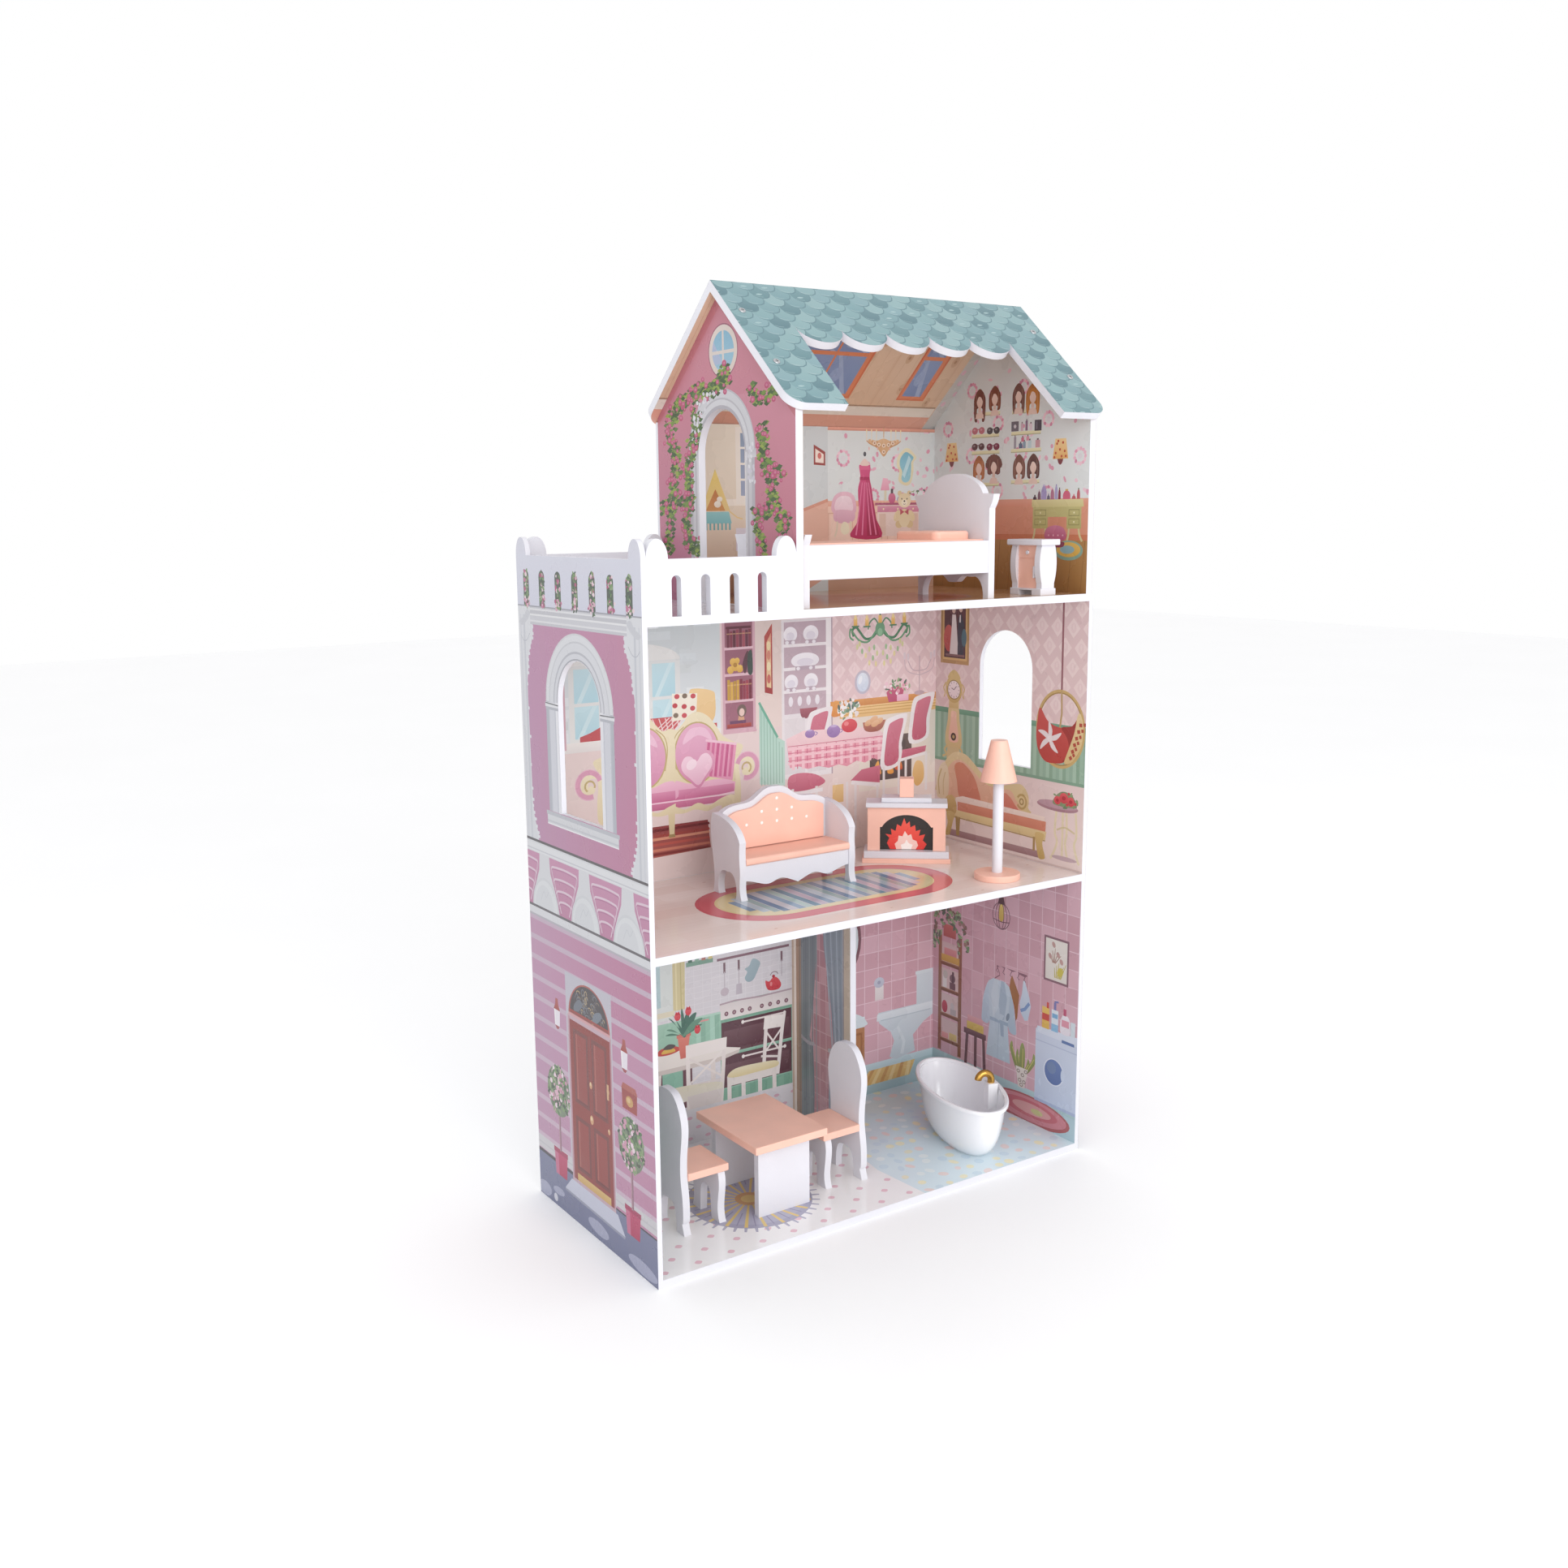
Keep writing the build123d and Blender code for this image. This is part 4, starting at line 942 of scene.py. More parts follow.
def chandelier(p):
    """Green chandelier with candles and glass drops, hub at the origin."""
    p.rect(-1.2, 10, 1.2, 50, "3F6B4C")
    for q in p.both():
        q.line([(2, 0), (12, -10), (24, -12), (34, -2), (40, 4), (46, 0), (44, -8)], 3.4, "3C6E4C", curve=5)
        q.line([(2, 4), (10, -6), (20, -16), (34, -14), (44, -4), (49, 2), (50, -8), (44, -13)], 2.6,
               "568A62", curve=5)
        q.line([(4, 8), (10, 14), (18, 8), (20, 0)], 2.2, "4A7C58", curve=5)
        for x, y in ((41, 6), (22, 5)):
            q.rect(x - 6, y - 2, x + 6, y, "3C6E4C")
            q.rect(x - 3, y, x + 3, y + 10, "DDA04A", "EBC06E")
            q.oval(x, y + 11, 2.2, 3.4, "F0D48C", steps=8)
        for k, (x, y) in enumerate(((38, -22), (30, -28), (24, -34), (18, -26), (12, -38), (7, -46),
                                    (34, -18), (10, -24), (18, -44), (5, -32))):
            q.oval(x, y, 2, 4, ["C8C58A", "8FAF7F", "DCCB8E"][k % 3], steps=8)
    p.oval(0, 0, 8, 10, "5C8C68")
    p.oval(0, -4, 4, 5, "7FAF86")
    p.rect(-3, 8, 3, 18, "DDA04A", "EBC06E")


def dining_chair(p):
    """Magenta seat and back in a white frame, base of the back at the origin."""
    p.blob([(-4, -20), (-3, 20), (2, 52), (12, 60), (36, 64), (40, 58), (32, 24), (28, -14)], "E6DFE2")
    p.blob([(2, -14), (3, 18), (8, 46), (16, 53), (31, 57), (33, 50), (26, 20), (24, -10)], "B24F66",
           "C56A7E")


def crockery(p):
    """White china cabinet, lower left corner at the origin, 80 wide and 205 tall."""
    p.rect(0, 0, 80, 205, "E1DADD", "DAD3D7")
    p.rect(4, 84, 70, 202, "B9A1AC", "AD95A1")
    for y in (111, 140, 170):
        p.rect(2, y, 72, y + 4, "E6E0E3")
    for x, y, rx, ry in ((14, 186, 10.5, 10), (46, 186, 12, 10.5), (37, 152, 22, 10), (15, 125, 10.5, 10),
                         (46, 125, 11, 10)):
        p.oval(x, y, rx, ry, "E2DDE5", "EDE9EF")
        p.oval(x, y - ry * 0.2, rx * 0.6, ry * 0.5, "D6D0DC")
        p.rect(x - rx * 0.7, y - ry - 2, x + rx * 0.7, y - ry + 3, "A894A2")
        for k in (-0.5, 0.4):
            p.oval(x + rx * k, y - ry, 3, 2.4, "E4DFE6", steps=8)
    for x in (14, 28, 42, 56):
        p.oval(x, 100, 3.6, 6.5, "DCD6DE", "E8E3E9", steps=12)
    p.area(smooth([(28, 90), (32, 78), (50, 78), (56, 90)], 4), "7E3E4A", "97505C")
    p.rect(70, 84, 80, 205, "E9E4E6")
    p.rect(78.5, 0, 80.5, 205, "A58F9B")
    p.rect(4, 6, 36, 78, "D6CED2")
    p.rect(40, 6, 70, 78, "D6CED2")


def lounge_right(p):
    """Right part of the living room wall: dining corner, chandelier and mantel."""
    damask(p, 128, 540, WIDE, HIGH_CEILING, "DDBDC0", "E6CBCC", 24)
    p.rect(8, 540, 50, HIGH_CEILING, "DDC9C2", "CDB9B3")
    p.rect(128, MIDDLE, WIDE, 545, "DFCBC6")
    p.area([(22, 585), (34, 582), (34, 672), (22, 656)], "8F2A2C", "A33A34")
    p.area([(25, 592), (32, 590), (32, 660), (25, 648)], "D9B988", "CE8A6E")
    for y, c in ((602, "B5544A"), (618, "E3CFA0"), (632, "C0705C"), (644, "DFC794")):
        p.oval(28.5, y, 3, 6, c, steps=10)
    crockery(p.at(48, 470))
    p.area([(13, 572), (41, 526), (52, 520), (52, 462), (13, 468)], "B4D2C6", "9FC4B5")
    for k in range(8):
        x = 15 + 4.6 * k
        p.rect(x, 466, x + 1.8, 568 - 1.62 * (x - 13), "8DB5A4")
    p.line([(13, 573), (41, 526)], 3.4, "5C9C84")
    p.rect(125, 556, WIDE, 565, "C0743C", "D08A4C")
    p.rect(140, 541, WIDE, 556, "D9A868", "E5BC80")
    for y in (545, 549, 553):
        p.rect(140, y, WIDE, y + 1.2, "C08C4C")
    p.rect(172, 440, WIDE, 541, "E1D5CA", "D9CBBF")
    p.rect(190, 452, 262, 512, "463A3A", "5A4B48")
    for x, y, r in ((204, 470, 9), (216, 480, 10), (226, 468, 8), (240, 474, 10), (232, 486, 7)):
        p.blob([(x - r * 0.6, y - r), (x - r * 0.7, y), (x, y + r), (x + r * 0.3, y + 2), (x + r * 0.6,
                                                                                           y - r)],
               random.Random(x).choice(["D2492C", "E08A3A", "C23A2A"]), "EBA550", 5)
    p.hoop(178, 587, 11.5, 14, 3.4, "B4ADBE")
    p.oval(178, 587, 10, 12.6, "C3CEE2", "D9E0EC")
    p.oval(174, 590, 3, 6, "E9EDF4", turn=-20, steps=10)
    for q in p.both(275, 596):
        q.line([(0, -28), (0, 20)], 1.6, "B79AA4")
        q.line([(0, 0), (12, 2), (20, 14)], 1.3, "B79AA4", curve=4)
        q.line([(0, -6), (16, -2), (24, 4), (26, 16)], 1.2, "BFA4AD", curve=4)
        for x, y in ((20, 15), (26, 17)):
            q.rect(x - 2, y, x + 2, y + 9, "D3BFC6")
    p.oval(275, 566, 9, 3, "B79AA4")
    chandelier(p.at(207, 656))
    p.area([(222, 557), (244, 557), (248, 572), (240, 578), (226, 577), (218, 570)], "A83C5E", "B9506F")
    p.rect(236, 557, 256, 566, "DD9DB6", "E8B4C8")
    foliage(p.at(236, 577), 22, 9, 44, 3.6, 21, GREENS, ["E6B9C6", "D98FA5", "EFDADF"], 0.5)
    p.blob([(128, 545), (126, 560), (134, 566), (146, 560), (146, 548)], "CF7A3C", "DC9450", 5)
    foliage(p.at(154, 553), 19, 13, 60, 4, 22, ["5F7E68", "EDE8E4", "7E9A80", "4C5F58"],
            ["EFE9EA", "E0D3D3"], 0.5)
    dining_chair(p.at(88, 508, tall=0.8))
    table_cloth(p)
    p.blob([(59, 455), (58, 472), (76, 476), (100, 472), (116, 462), (108, 456), (84, 452)], "B24F66",
           "C4657A")
    for x in (62, 100, 132, 150):
        p.rect(x, 400, x + 4, 456, "DED4D4")
    p.area([(56, 446), (112, 448), (112, 453), (56, 451)], "E6DFE2")
    dining_chair(p.at(214, 484, tall=0.87))
    p.area([(158, 457), (176, 470), (208, 473), (207, 448), (166, 454)], "B24F66", "C2627A")
    p.area([(158, 452), (207, 443), (207, 449), (160, 457)], "E6DFE2")
    dining_chair(p.at(262, 514, tall=0.8))
    p.area([(244, 478), (286, 484), (288, 492), (246, 490)], "B24F66", "C2627A")
    p.area([(242, 474), (290, 480), (290, 484), (242, 478)], "E6DFE2")
    for x, y0, y1 in ((166, 380, 452), (203, 380, 446), (214, 400, 470), (240, 420, 476), (252, 420, 476),
                      (288, 430, 484)):
        p.rect(x - 2, y0, x + 2, y1, "DFD6D8")
    p.blob([(268, 440), (264, 456), (270, 472), (282, 468), (284, 448), (276, 438)], "CF9B58", "DFB478", 5)
    p.oval(248, 498, 3.4, 7, "4A3F3F")
    p.rect(128, 430, 146, 454, "D2A468", "DDB77E")


def table_cloth(p):
    """Table under a pink checked cloth, laid with pots and a bread bowl."""
    top = [(54, 522), (82, 531), (202, 526), (214, 514), (211, 508), (57, 506)]
    p.area(top, "E2B5BC", "EAC6CA")
    hang = [(54, 522), (57, 506), (140, 509), (212, 512), (212, 484), (204, 480), (196, 484), (182, 479),
            (168, 483), (152, 477), (138, 481), (122, 478), (106, 482), (88, 480), (74, 485), (60, 484)]
    p.area(hang, "D98296", "E59CAC")
    for k in range(10):
        x = 63 + 15.6 * k
        p.rect(x, 481, x + 4.6, 511, "EDBAC4")
        p.rect(x + 8, 482, x + 9.6, 511, "C25E78")
    for y in (488, 498, 507):
        p.rect(57, y, 212, y + 3, "EDBAC4")
        p.rect(57, y + 4.6, 212, y + 5.6, "C25E78")
    for x, y, rx, ry in ((92, 526, 8, 5.5), (130, 526, 11, 8.5)):
        p.oval(x, y, rx, ry, "82609A", "9B7BB2")
        p.oval(x, y + ry * 0.8, rx * 0.5, ry * 0.2, "B79FCA")
        p.line([(x + rx, y + 2), (x + rx + 4, y), (x + rx, y - 3)], 1.2, "8D6CA5", curve=4)
    p.oval(156, 531, 13, 9, "BE3340", "D24C52")
    p.oval(151, 534, 4, 3, "E2767A", steps=10)
    p.area(smooth([(178, 533), (182, 522), (196, 519), (210, 522), (217, 534)], 4), "8E4A3E", "A8604E")
    for x, y in ((188, 532), (197, 536), (206, 533), (199, 530)):
        p.oval(x, y, 7, 4, "CF9468", "DDAD85", turn=20)


def lounge_floor(p):
    """Rosy boards under a banded oval rug."""
    # the boards' ground turns darker towards the back: painted shade
    p.rect(-WIDE, -DEEP, WIDE, REAR, "E3CFC8", "CBA595")
    rnd = random.Random(14)
    for k in range(9):
        y = -143 + 31.3 * k
        p.rect(-WIDE, y, WIDE, y + 0.6, "D3B6AB")
        for j in range(5):
            x = -304 + 122 * j + (61 if k % 2 else 0)
            p.rect(x, y + 0.6, x + 122, y + 31.3, rnd.choice(["DFC8BF", "DCC3BA", "E1CBC3", "DABFB5"]))
            p.line([(x + 8, y + 9), (x + 40, y + 12), (x + 90, y + 9)], 0.6, "D5BAAF", curve=4)
            p.line([(x + 20, y + 20), (x + 60, y + 22), (x + 104, y + 19)], 0.6, "D5BAAF", curve=4)
            if rnd.random() < 0.5:
                p.oval(x + rnd.uniform(20, 100), y + rnd.uniform(8, 24), 2.4, 1.3, "B98F80", steps=9)

    def oval_rug(half_x, half_y, colour, shade=None):
        """Round-ended shape about the rug's middle."""
        r = half_y
        right = ring(half_x - r * 1.05, -24, r * 1.05, r, start=-90, stop=90, steps=22)
        left = ring(-half_x + r * 1.05, -24, r * 1.05, r, start=90, stop=270, steps=22)
        p.area(right + left, colour, shade)

    # each band of the rug turns darker towards the back: painted shade
    oval_rug(172, 80, "BB3440", "A32E38")
    oval_rug(167, 75.5, "C23C46", "AC333C")
    oval_rug(149, 59, "D8BE78", "BF9F55")
    oval_rug(145, 55.5, "DCC78A", "C7A962")
    x, k = -126, 0
    tones = ["4F6C8C", "93A5B4", "6F8A8A", "3F5A80", "B5B0BA", "5C7EA0", "8CAEA8", "3A6480", "A58FA6"]
    while x < 126:
        reach = 47 * (1 - max(0, (abs(x + 5) - 76) / 52) ** 2) ** 0.5 if abs(x + 5) < 128 else 0
        p.rect(x, -24 - reach, x + 9.8, -24 + reach, tones[k % 9])
        p.rect(x + 9.8, -24 - reach, x + 10.6, -24 + reach, "C9BFC0")
        x += 10.6
        k += 1


def lounge_side(p):
    """Living room side wall: wallpaper, wainscot, clock, couch, hanging chair and table."""
    damask(p, -REAR, 545, DEEP, HIGH_CEILING, "D6BAB9", "E0C9C6", 27)
    wainscot(p, -REAR)
    p.rect(-REAR, 472, DEEP, 476, "6B9179")
    p.rect(-REAR, MIDDLE, DEEP, 472, "E2CEC9", "D9C3C0")
    p.rect(-128, 606, -71, HIGH_CEILING, "A67B4C", "96703F")
    p.rect(-124, 611, -75, 697, "C79E63")
    p.rect(-121, 614, -78, 694, "3C2328", "4C2C30")
    painting(p.at(-100, 616))
    clock(p.at(-100, 0))
    couch(p)
    hanging_chair(p.at(100, 540))
    for x, lean in ((97, -6), (108, 0), (114, 3), (130, 5)):
        p.line([(x, 438), (x + lean * 0.4, 410), (x - lean * 0.3, 396), (x + lean, 378), (x + lean * 1.6,
                                                                                          374)], 3.6,
               "D9CBA6", curve=4)
    p.line([(98, 412), (112, 417), (129, 412)], 2.4, "C6B68C", curve=4)
    p.oval(112, 377, 22, 3, "B59AA2")
    p.oval(98, 442, 36, 6.5, "8F6672", "A47C87")
    p.oval(98, 444, 34, 5, "A98591")
    p.blob([(92, 444), (94, 454), (106, 462), (122, 460), (130, 450), (128, 444)], "6F7F5C", steps=5)
    foliage(p.at(112, 453), 20, 10, 26, 4, 31, ["6F8A5E", "587350"], ["B8323C"], 0.2)
    for x, y, r in ((98, 450, 6), (109, 454, 7.5), (121, 451, 6.5)):
        p.oval(x, y, r, r * 0.9, "BC2F3A", "CF4A50")
        p.oval(x, y, r * 0.45, r * 0.35, "A0252F")
    p.rect(-REAR, MIDDLE, DEEP, 366.5, "CDB5AF")


def painting(p):
    """Generic couple in formal dress, seen full length; base of the figures at the origin."""
    p.oval(-12, 24, 10, 18, "A03A38", "B24A44")
    p.area([(-10, 2), (8, 2), (4, 40), (2, 56), (-5, 56), (-6, 40)], "CDBFBE", "DCD2CF")
    p.area([(6, 2), (18, 2), (19, 44), (13, 58), (7, 52)], "2E2D38")
    p.area([(9, 46), (12, 46), (12, 56), (10, 56)], "D9D2D2")
    for x, y, hair in ((-2, 62, "3A2522"), (12, 64, "2A201E")):
        p.oval(x, y + 1.5, 4.6, 5.4, hair)
        p.oval(x, y, 3.4, 4.4, "D8B6A6")
        for side in (-1, 1):
            p.oval(x + 1.3 * side, y + 0.5, 0.45, 0.4, "4A3430", steps=6)
        p.line([(x - 1, y - 2), (x + 1, y - 2)], 0.5, "A8685C")
        p.line([(x, y + 0.2), (x + 0.2, y - 0.9)], 0.35, "B88C7C")
    p.rect(-18, 0, 20, 3, "6E4A48")
    p.oval(19, 26, 5, 12, "3E5A66")


def clock(p):
    """Gilt longcase clock along the middle line x = 0."""
    p.blob([(-12, 492), (-17, 505), (-12, 530), (-9, 548), (9, 548), (12, 530), (17, 505), (12, 492)],
           "C6AC74", "D2BA84")
    p.blob([(-7, 500), (-10, 508), (-6, 530), (-5, 541), (5, 541), (6, 530), (10, 508), (7, 500)], "DDA98F",
           "E3B8A0")
    p.oval(0, 507, 5.4, 5.4, "3B2C24")
    p.oval(0, 507, 2.4, 2.4, "A8874C")
    p.rect(-10, 546, 10, 556, "BFA368", "CDB47A")
    p.oval(0, 572, 17, 19, "B99B5C", "CBB070")
    p.oval(0, 571, 13.4, 13.4, "8C7142")
    p.oval(0, 571, 12, 12, "E0CDD0", "E9DBDC")
    for k in range(12):
        a = radians(30 * k)
        p.line([(9 * cos(a), 571 + 9 * sin(a)), (10.8 * cos(a), 571 + 10.8 * sin(a))], 0.9, "6E5260")
    p.line([(0, 571), (5, 576)], 1.2, "5E4452")
    p.line([(0, 571), (-5, 573)], 1.2, "5E4452")
    p.blob([(-13, 586), (-8, 594), (0, 598), (8, 594), (13, 586), (0, 590)], "C9AE6E")
    for q in p.both():
        q.line([(16, 580), (21, 573), (18, 566), (20, 560)], 2.2, "C4A86A", curve=4)
        q.line([(12, 494), (18, 488), (14, 482), (22, 478)], 3, "C4A86A", curve=4)
    p.area([(-14, 476), (14, 476), (12, 493), (-12, 493)], "C4AC78")


def couch(p):
    """Peach daybed with a gilt frame."""
    p.rect(-108, 370, 76, 379, "8A6468", "9B7678")
    p.blob([(-126, 424), (-122, 452), (-116, 472), (-98, 486), (-76, 486), (-58, 476), (-44, 466),
            (-26, 458), (-4, 454), (14, 458), (34, 460), (46, 448), (46, 432), (38, 424)], "CBB27C", "D8C392")
    p.blob([(-122, 426), (-116, 452), (-104, 470), (-88, 477), (-70, 472), (-54, 462), (-36, 452), (-8, 448),
            (12, 450), (22, 440), (24, 424)], "D29A7C", "DDB094")
    p.blob([(-84, 424), (-92, 448), (-97, 468), (-84, 474), (-70, 468), (-58, 458), (-50, 444), (-46, 424)],
           "BC6650", "C97A5F")
    p.blob([(0, 424), (1, 444), (12, 441), (22, 432), (28, 424)], "C26050", "CB7560")
    p.hoop(34, 438, 8.5, 9, 3, "A88A50", start=-150, stop=150, steps=14)
    p.hoop(34, 438, 3.4, 3.8, 2, "8F7240", steps=10)
    p.blob([(-132, 420), (-134, 444), (-128, 462), (-118, 470), (-110, 460), (-108, 440), (-112, 422)],
           "D5BD98", "E0CDAE")
    p.line([(-128, 424), (-130, 444), (-124, 460)], 2.4, "B99C68", curve=4)
    p.line([(-119, 424), (-120, 442), (-116, 456)], 2, "C3A877", curve=4)
    p.area([(-94, 424), (-80, 428), (76, 425), (78, 418), (-92, 418)], "E3CDBF", "EBD9CD")
    p.area([(-90, 407), (78, 405), (79, 419), (-90, 419)], "C06C54", "CB7C62")
    p.area([(-108, 398), (78, 395), (80, 406), (-104, 407)], "CDB377", "DAC38C")
    p.line([(-108, 397), (78, 394)], 1.6, "9C8048")
    p.blob([(-116, 406), (-114, 422), (-100, 426), (-92, 414), (-94, 402), (-106, 398)], "B08C4E", "C6A465",
           5)
    for x0, x1, x2 in ((-112, -96, -116), (60, 76, 66)):
        p.blob([(x0, 402), (x1, 402), (x1 - 3, 390), (x2 + 12, 374), (x2 + 10, 370), (x2 + 1, 370),
                (x0 + 2, 386)], "B5934F", "C9AC6A")
    p.area([(-92, 372), (-86, 372), (-84, 398), (-94, 398)], "9A7A45")
    p.area([(56, 378), (60, 378), (60, 396), (56, 396)], "9A7A45")


def hanging_chair(p):
    """Round rattan swing seat with a red cushion, hung on a cord."""
    p.line([(1, 48), (1, 161)], 3.2, "7E4A50")
    p.hoop(0, 0, 40, 47, 5, "B9985A", steps=44)
    p.hoop(0, 0, 38.4, 45.4, 1.4, "8E6F3C", steps=44)
    p.line([(1, 48), (2, 20), (-1, 0)], 3, "A88A58")
    p.blob([(-36, 24), (-40, 8), (-42, -12), (-38, -30), (-26, -43), (-8, -44), (8, -40), (18, -22), (24, 0),
            (32, 20), (20, 6), (4, 2), (-12, 4), (-24, 10)], "A5302A", "B8403A")
    p.blob([(2, 2), (12, -10), (16, -28), (4, -40), (14, -36), (24, -14), (32, 18), (20, 6)], "8A2723")
    p.blob([(8, -42), (22, -38), (36, -18), (39, 6), (34, 22), (29, 20), (24, -2), (14, -26)], "C9AC70",
           "D8C08A")
    for k in range(6):
        q = p.at(18 + 3.2 * k, -34 + 8.6 * k, turn=32 - 6 * k)
        q.rect(-2, -2.6, 3, 2, "9E3A2C")
        q.rect(5, -1.6, 9, 2.6, "9E3A2C")
    for turn in (18, 88, 150, 215, 305):
        q = p.at(-18, -14, turn=turn)
        q.blob([(0, -2), (10, -4), (18, -1), (22, 3), (14, 3), (2, 2)], "DDD3D3", steps=3)
    p.oval(-18, -14, 4, 4, "E6DDDD")


# ---------------------------------------------------------------- dressing room
def dressing_wall(p):
    """Upper back wall: wallpaper, cornice, chandelier, gown, mirror and vanity."""
    wreaths(p, -125, DECK, 307, 922, 41)
    p.rect(-125, 912, 307, 922, "DB9079", "E3A08A")
    p.rect(-125, 911, 307, 912.4, "C98470")
    p.rect(-125, DECK, 307, 820, "E6B5A0", "EBC0AC")
    p.rect(-125, 816, 307, 823, "DE9A84", "E8AE98")
    for k in range(9):
        x = -118 + 48 * k
        p.frame(x, 742, x + 40, 808, 1.4, "D39F8B")
        p.rect(x + 4, 746, x + 36, 804, "EBC3B1")
    p.rect(-125, DECK, 307, 736, "B98A72", "C99C84")
    nursery(p)
    p.area([(84, 709), (122, 709), (122, 922), (96, 922), (84, 922)], "CDD4D6", "C5CCCE")
    p.area([(84, 709), (122, 728), (122, 824), (84, 812)], "D9A08C", "DDA893")
    p.line([(84, 812), (122, 824)], 4, "D08A74")
    p.area([(100, 868), (118, 867), (118, 884), (100, 893)], "8E3B38")
    p.area([(102.5, 871), (115.5, 870), (115.5, 881), (102.5, 888)], "F0DDD0")
    p.oval(109, 879, 3, 4, "C8605A", steps=10)
    vanity(p)
    gilt_chandelier(p.at(212, 893))
    p.blob([(249, 842), (258, 846), (262, 862), (262, 872), (267, 878), (262, 884), (254, 890), (246, 889),
            (236, 880), (234, 868), (238, 860), (237, 848)], "DDD2A8", "E6DDB8")
    p.blob([(248, 846), (256, 850), (258, 864), (258, 872), (262, 878), (256, 883), (248, 885), (240, 877),
            (239, 868), (243, 860), (242, 850)], "8CC4D4", "6FAFC6")
    p.area([(243, 856), (247, 852), (258, 876), (254, 881)], "B4DCE6")
    mirror_chair(p.at(148, 0))
    gown(p.at(181, 0))
    teddy(p.at(247, 0))
    vine(p, [(256, 829), (268, 833), (282, 836)], 3, 5, 0.6, 2.6, ROSES, 0.5)


def nursery(p):
    """Cream corner with a window and a small canopied bed."""
    p.rect(-125, DECK, 84, 922, "D8BFA6", "EADFCB")
    p.rect(-125, DECK, 84, 756, "7C4A34", "9A6A4C")
    p.rect(-125, 818, 84, 826, "F0E4D6")
    p.area([(-125, 756), (84, 756), (84, 800), (-125, 800)], "C9AE98", "E0CBB6")
    for x in (-12, 40):
        p.rect(x - 5, 820, x + 15, 912, "EFE6DA")
        p.rect(x + 2, 830, x + 8, 905, "8E9AB8", "7F92AE")
        for y in (848, 867, 886):
            p.rect(x, y, x + 9, y + 2.6, "F1EADF")
    p.area([(-47, 862), (-26, 812), (-68, 812)], "E2C07A", "E9C95E")
    p.area([(-47, 838), (-33, 812), (-61, 812)], "C98444", "B5622A")
    for x, y, r in ((-44, 820, 5), (-41, 826, 4)):
        p.oval(x, y, r, r * 0.8, "E9DCC8", "F2EADC")
    p.area([(-74, 797), (-24, 797), (-28, 811), (-70, 811)], "6FB3BA", "86C3C6")
    for k in range(9):
        p.rect(-73 + 5.6 * k, 789, -70.4 + 5.6 * k, 797, "5F9FA6")
    p.line([(-28, 812), (-16, 804), (-8, 802)], 1.6, "E2C07A")
    p.rect(-18, 763, -2, 791, "CBC0D2", "DAD2DE")
    p.rect(-125, DECK, 84, 712, "6E4030")


def gilt_chandelier(p):
    """Rose-gold chandelier with candles, hub at the origin."""
    p.line([(0, 10), (0, 28)], 1.4, "C79A6C")
    p.blob([(0, -14), (10, -4), (24, 3), (24, 8), (12, 6), (0, 9), (-12, 6), (-24, 8), (-24, 3), (-10, -4)],
           "C79264", "D9AD82")
    for x in (-28, -20, -12, 12, 20, 28):
        p.rect(x - 0.9, 5, x + 0.9, 17, "E3D8C4")
        p.oval(x, 18.5, 1, 2, "F0DDA4", steps=7)
        p.line([(x * 0.4, -2), (x * 0.8, 2), (x, 6)], 1.3, "B98258", curve=4)
    for x, y in ((0, 0), (-8, 1), (8, 1), (0, -8), (-15, 3), (15, 3)):
        p.oval(x, y, 3, 2.6, "EBD3BE", steps=9)
        p.oval(x, y, 1.4, 1.2, "9E6E4E", steps=8)
    for x in (-24, -10, 10, 24):
        p.oval(x, -4, 1, 2.4, "DFA7A2", steps=7)


def gown(p):
    """Magenta evening gown on a stand."""
    p.oval(0, 882, 2.4, 3, "4A4C52")
    p.area(smooth([(-9, 867), (-5, 873), (0, 876), (5, 873), (9, 867)], 4), "E6C6BC")
    p.blob([(-9, 868), (-7, 852), (-11, 836), (-10, 800), (-23, 777), (28, 776), (16, 806), (12, 836),
            (8, 852), (9, 868), (0, 865)], "A8254C", "C94876")
    p.area([(2, 850), (8, 850), (24, 778), (4, 778)], "8E1F3C", "B53A62")
    for x0, x1 in ((-4, -14), (0, -4), (3, 10), (6, 19)):
        p.line([(x0, 846), ((x0 + x1) / 2, 810), (x1, 779)], 1.4, "D86A92", 2.4)
    p.rect(-8, 862, 8, 867, "D4557F")
    p.rect(-8, 849, 8, 853, "A02A50")


def mirror_chair(p):
    """Round-backed pink chair."""
    p.blob([(-18, 808), (-18, 826), (-6, 834), (10, 833), (18, 824), (16, 806)], "D9A0B4", "E5B5C6")
    p.blob([(-14, 811), (-13, 824), (-4, 829), (8, 828), (13, 821), (12, 810)], "E9C4D2", "F0D5DF")
    p.blob([(-17, 800), (-14, 811), (14, 810), (17, 800), (8, 795), (-8, 795)], "CF93AA", "DDA9BC")
    for x in (-11, 10):
        p.line([(x, 797), (x * 1.1, 786), (x * 1.4, 778)], 2.6, "D8C3AA", curve=3)
    p.blob([(-6, 786), (-2, 796), (6, 794), (8, 784), (0, 780)], "E5D6B8", steps=5)


